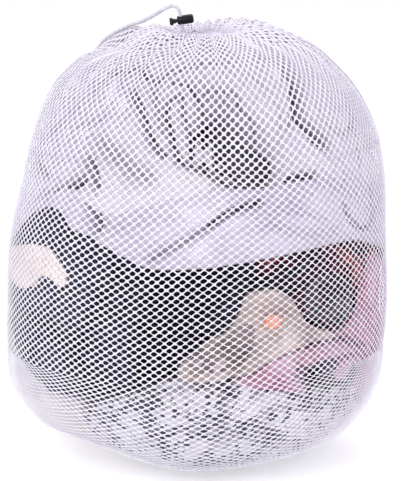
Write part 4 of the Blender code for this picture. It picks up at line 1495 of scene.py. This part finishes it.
def carve(obj, work, operation="DIFFERENCE"):
    """Cuts a shape out of the object, or joins it on, and keeps only the result."""
    tool = work_object("tool", work)
    cut = obj.modifiers.new("cut", "BOOLEAN")
    cut.operation = operation
    cut.solver = "EXACT"
    cut.object = tool
    graph = bpy.context.evaluated_depsgraph_get()
    mesh = bpy.data.meshes.new_from_object(obj.evaluated_get(graph))
    obj.modifiers.clear()
    obj.data = mesh
    bpy.data.objects.remove(tool)


def lock_piece(obj, body, node_name):
    obj.data.transform(lock_frame())
    obj.data.materials.clear()
    obj.data.materials.append(LOOKS["black_plastic"])
    obj.data.shade_smooth()
    obj.data.set_sharp_from_angle(angle=radians(35))
    on_body(obj, body, "black_plastic", node_name)


def cord_lock():
    end = BARREL_OPEN_END + BARREL_LENGTH
    x = CORD_HOLE[0] / 2
    y = CORD_HOLE[1] / 2
    z = BARREL_HEIGHT
    shape = oval_rod(BARREL_OPEN_END, end, BARREL_WIDTH, BARREL_HEIGHT, BARREL_RIM)
    barrel = work_object("lock_barrel", shape)
    carve(barrel, oval_rod(BARREL_OPEN_END - 0.002, end - END_WALL, BORE_WIDTH, BORE_HEIGHT))
    carve(barrel, rounded_block((-x, -y, -z), (x, y, z), HOLE_CORNER))
    lock_piece(barrel, "cord_lock", "cord_lock_barrel")

    width = BORE_WIDTH - 2 * PLUNGER_GAP
    height = BORE_HEIGHT - 2 * PLUNGER_GAP
    tongue = oval_rod(BUTTON_START - OVERREACH, TONGUE_TIP, width, height, TONGUE_RIM)
    plunger = work_object("lock_plunger", tongue)
    carve(plunger, oval_rod(BUTTON_START - BUTTON_LENGTH, BUTTON_START, *BUTTON_SIZE, BUTTON_RIM), "UNION")
    carve(plunger, rounded_block((TONGUE_SLOT[0], -y, -z), (TONGUE_SLOT[1], y, z), SLOT_CORNER))
    lock_piece(plunger, "lock_button", "cord_lock_plunger")


def lock_spring():
    """The spring between the tongue and the barrel's closed end, which shortens as the button goes in."""
    start = TONGUE_TIP + PLUNGER_GAP + SPRING_WIRE_RADIUS
    end = BARREL_OPEN_END + BARREL_LENGTH - END_WALL - PLUNGER_GAP - SPRING_WIRE_RADIUS
    line = []
    for t in np.linspace(0, 1, SPRING_TURNS * 24 + 1):
        angle = 2 * pi * SPRING_TURNS * t
        spot = Vector((start + (end - start) * t, SPRING_RADIUS * cos(angle), SPRING_RADIUS * sin(angle)))
        line.append(lock_frame() @ spot)
    points, faces, spots = sweep(line, lambda angle, along: np.full_like(angle, SPRING_WIRE_RADIUS), 10)
    obj = mesh_piece("lock_spring", points, faces, LOOKS["steel"], spots)
    on_body(obj, "lock_button", "steel", "cord_lock_spring")
    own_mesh(obj)


camera()
studio()
drawstring()
net_panels()
laundry()
seams()
hem()
exit_tacks()
cord_lock()
lock_spring()
hem_cord()
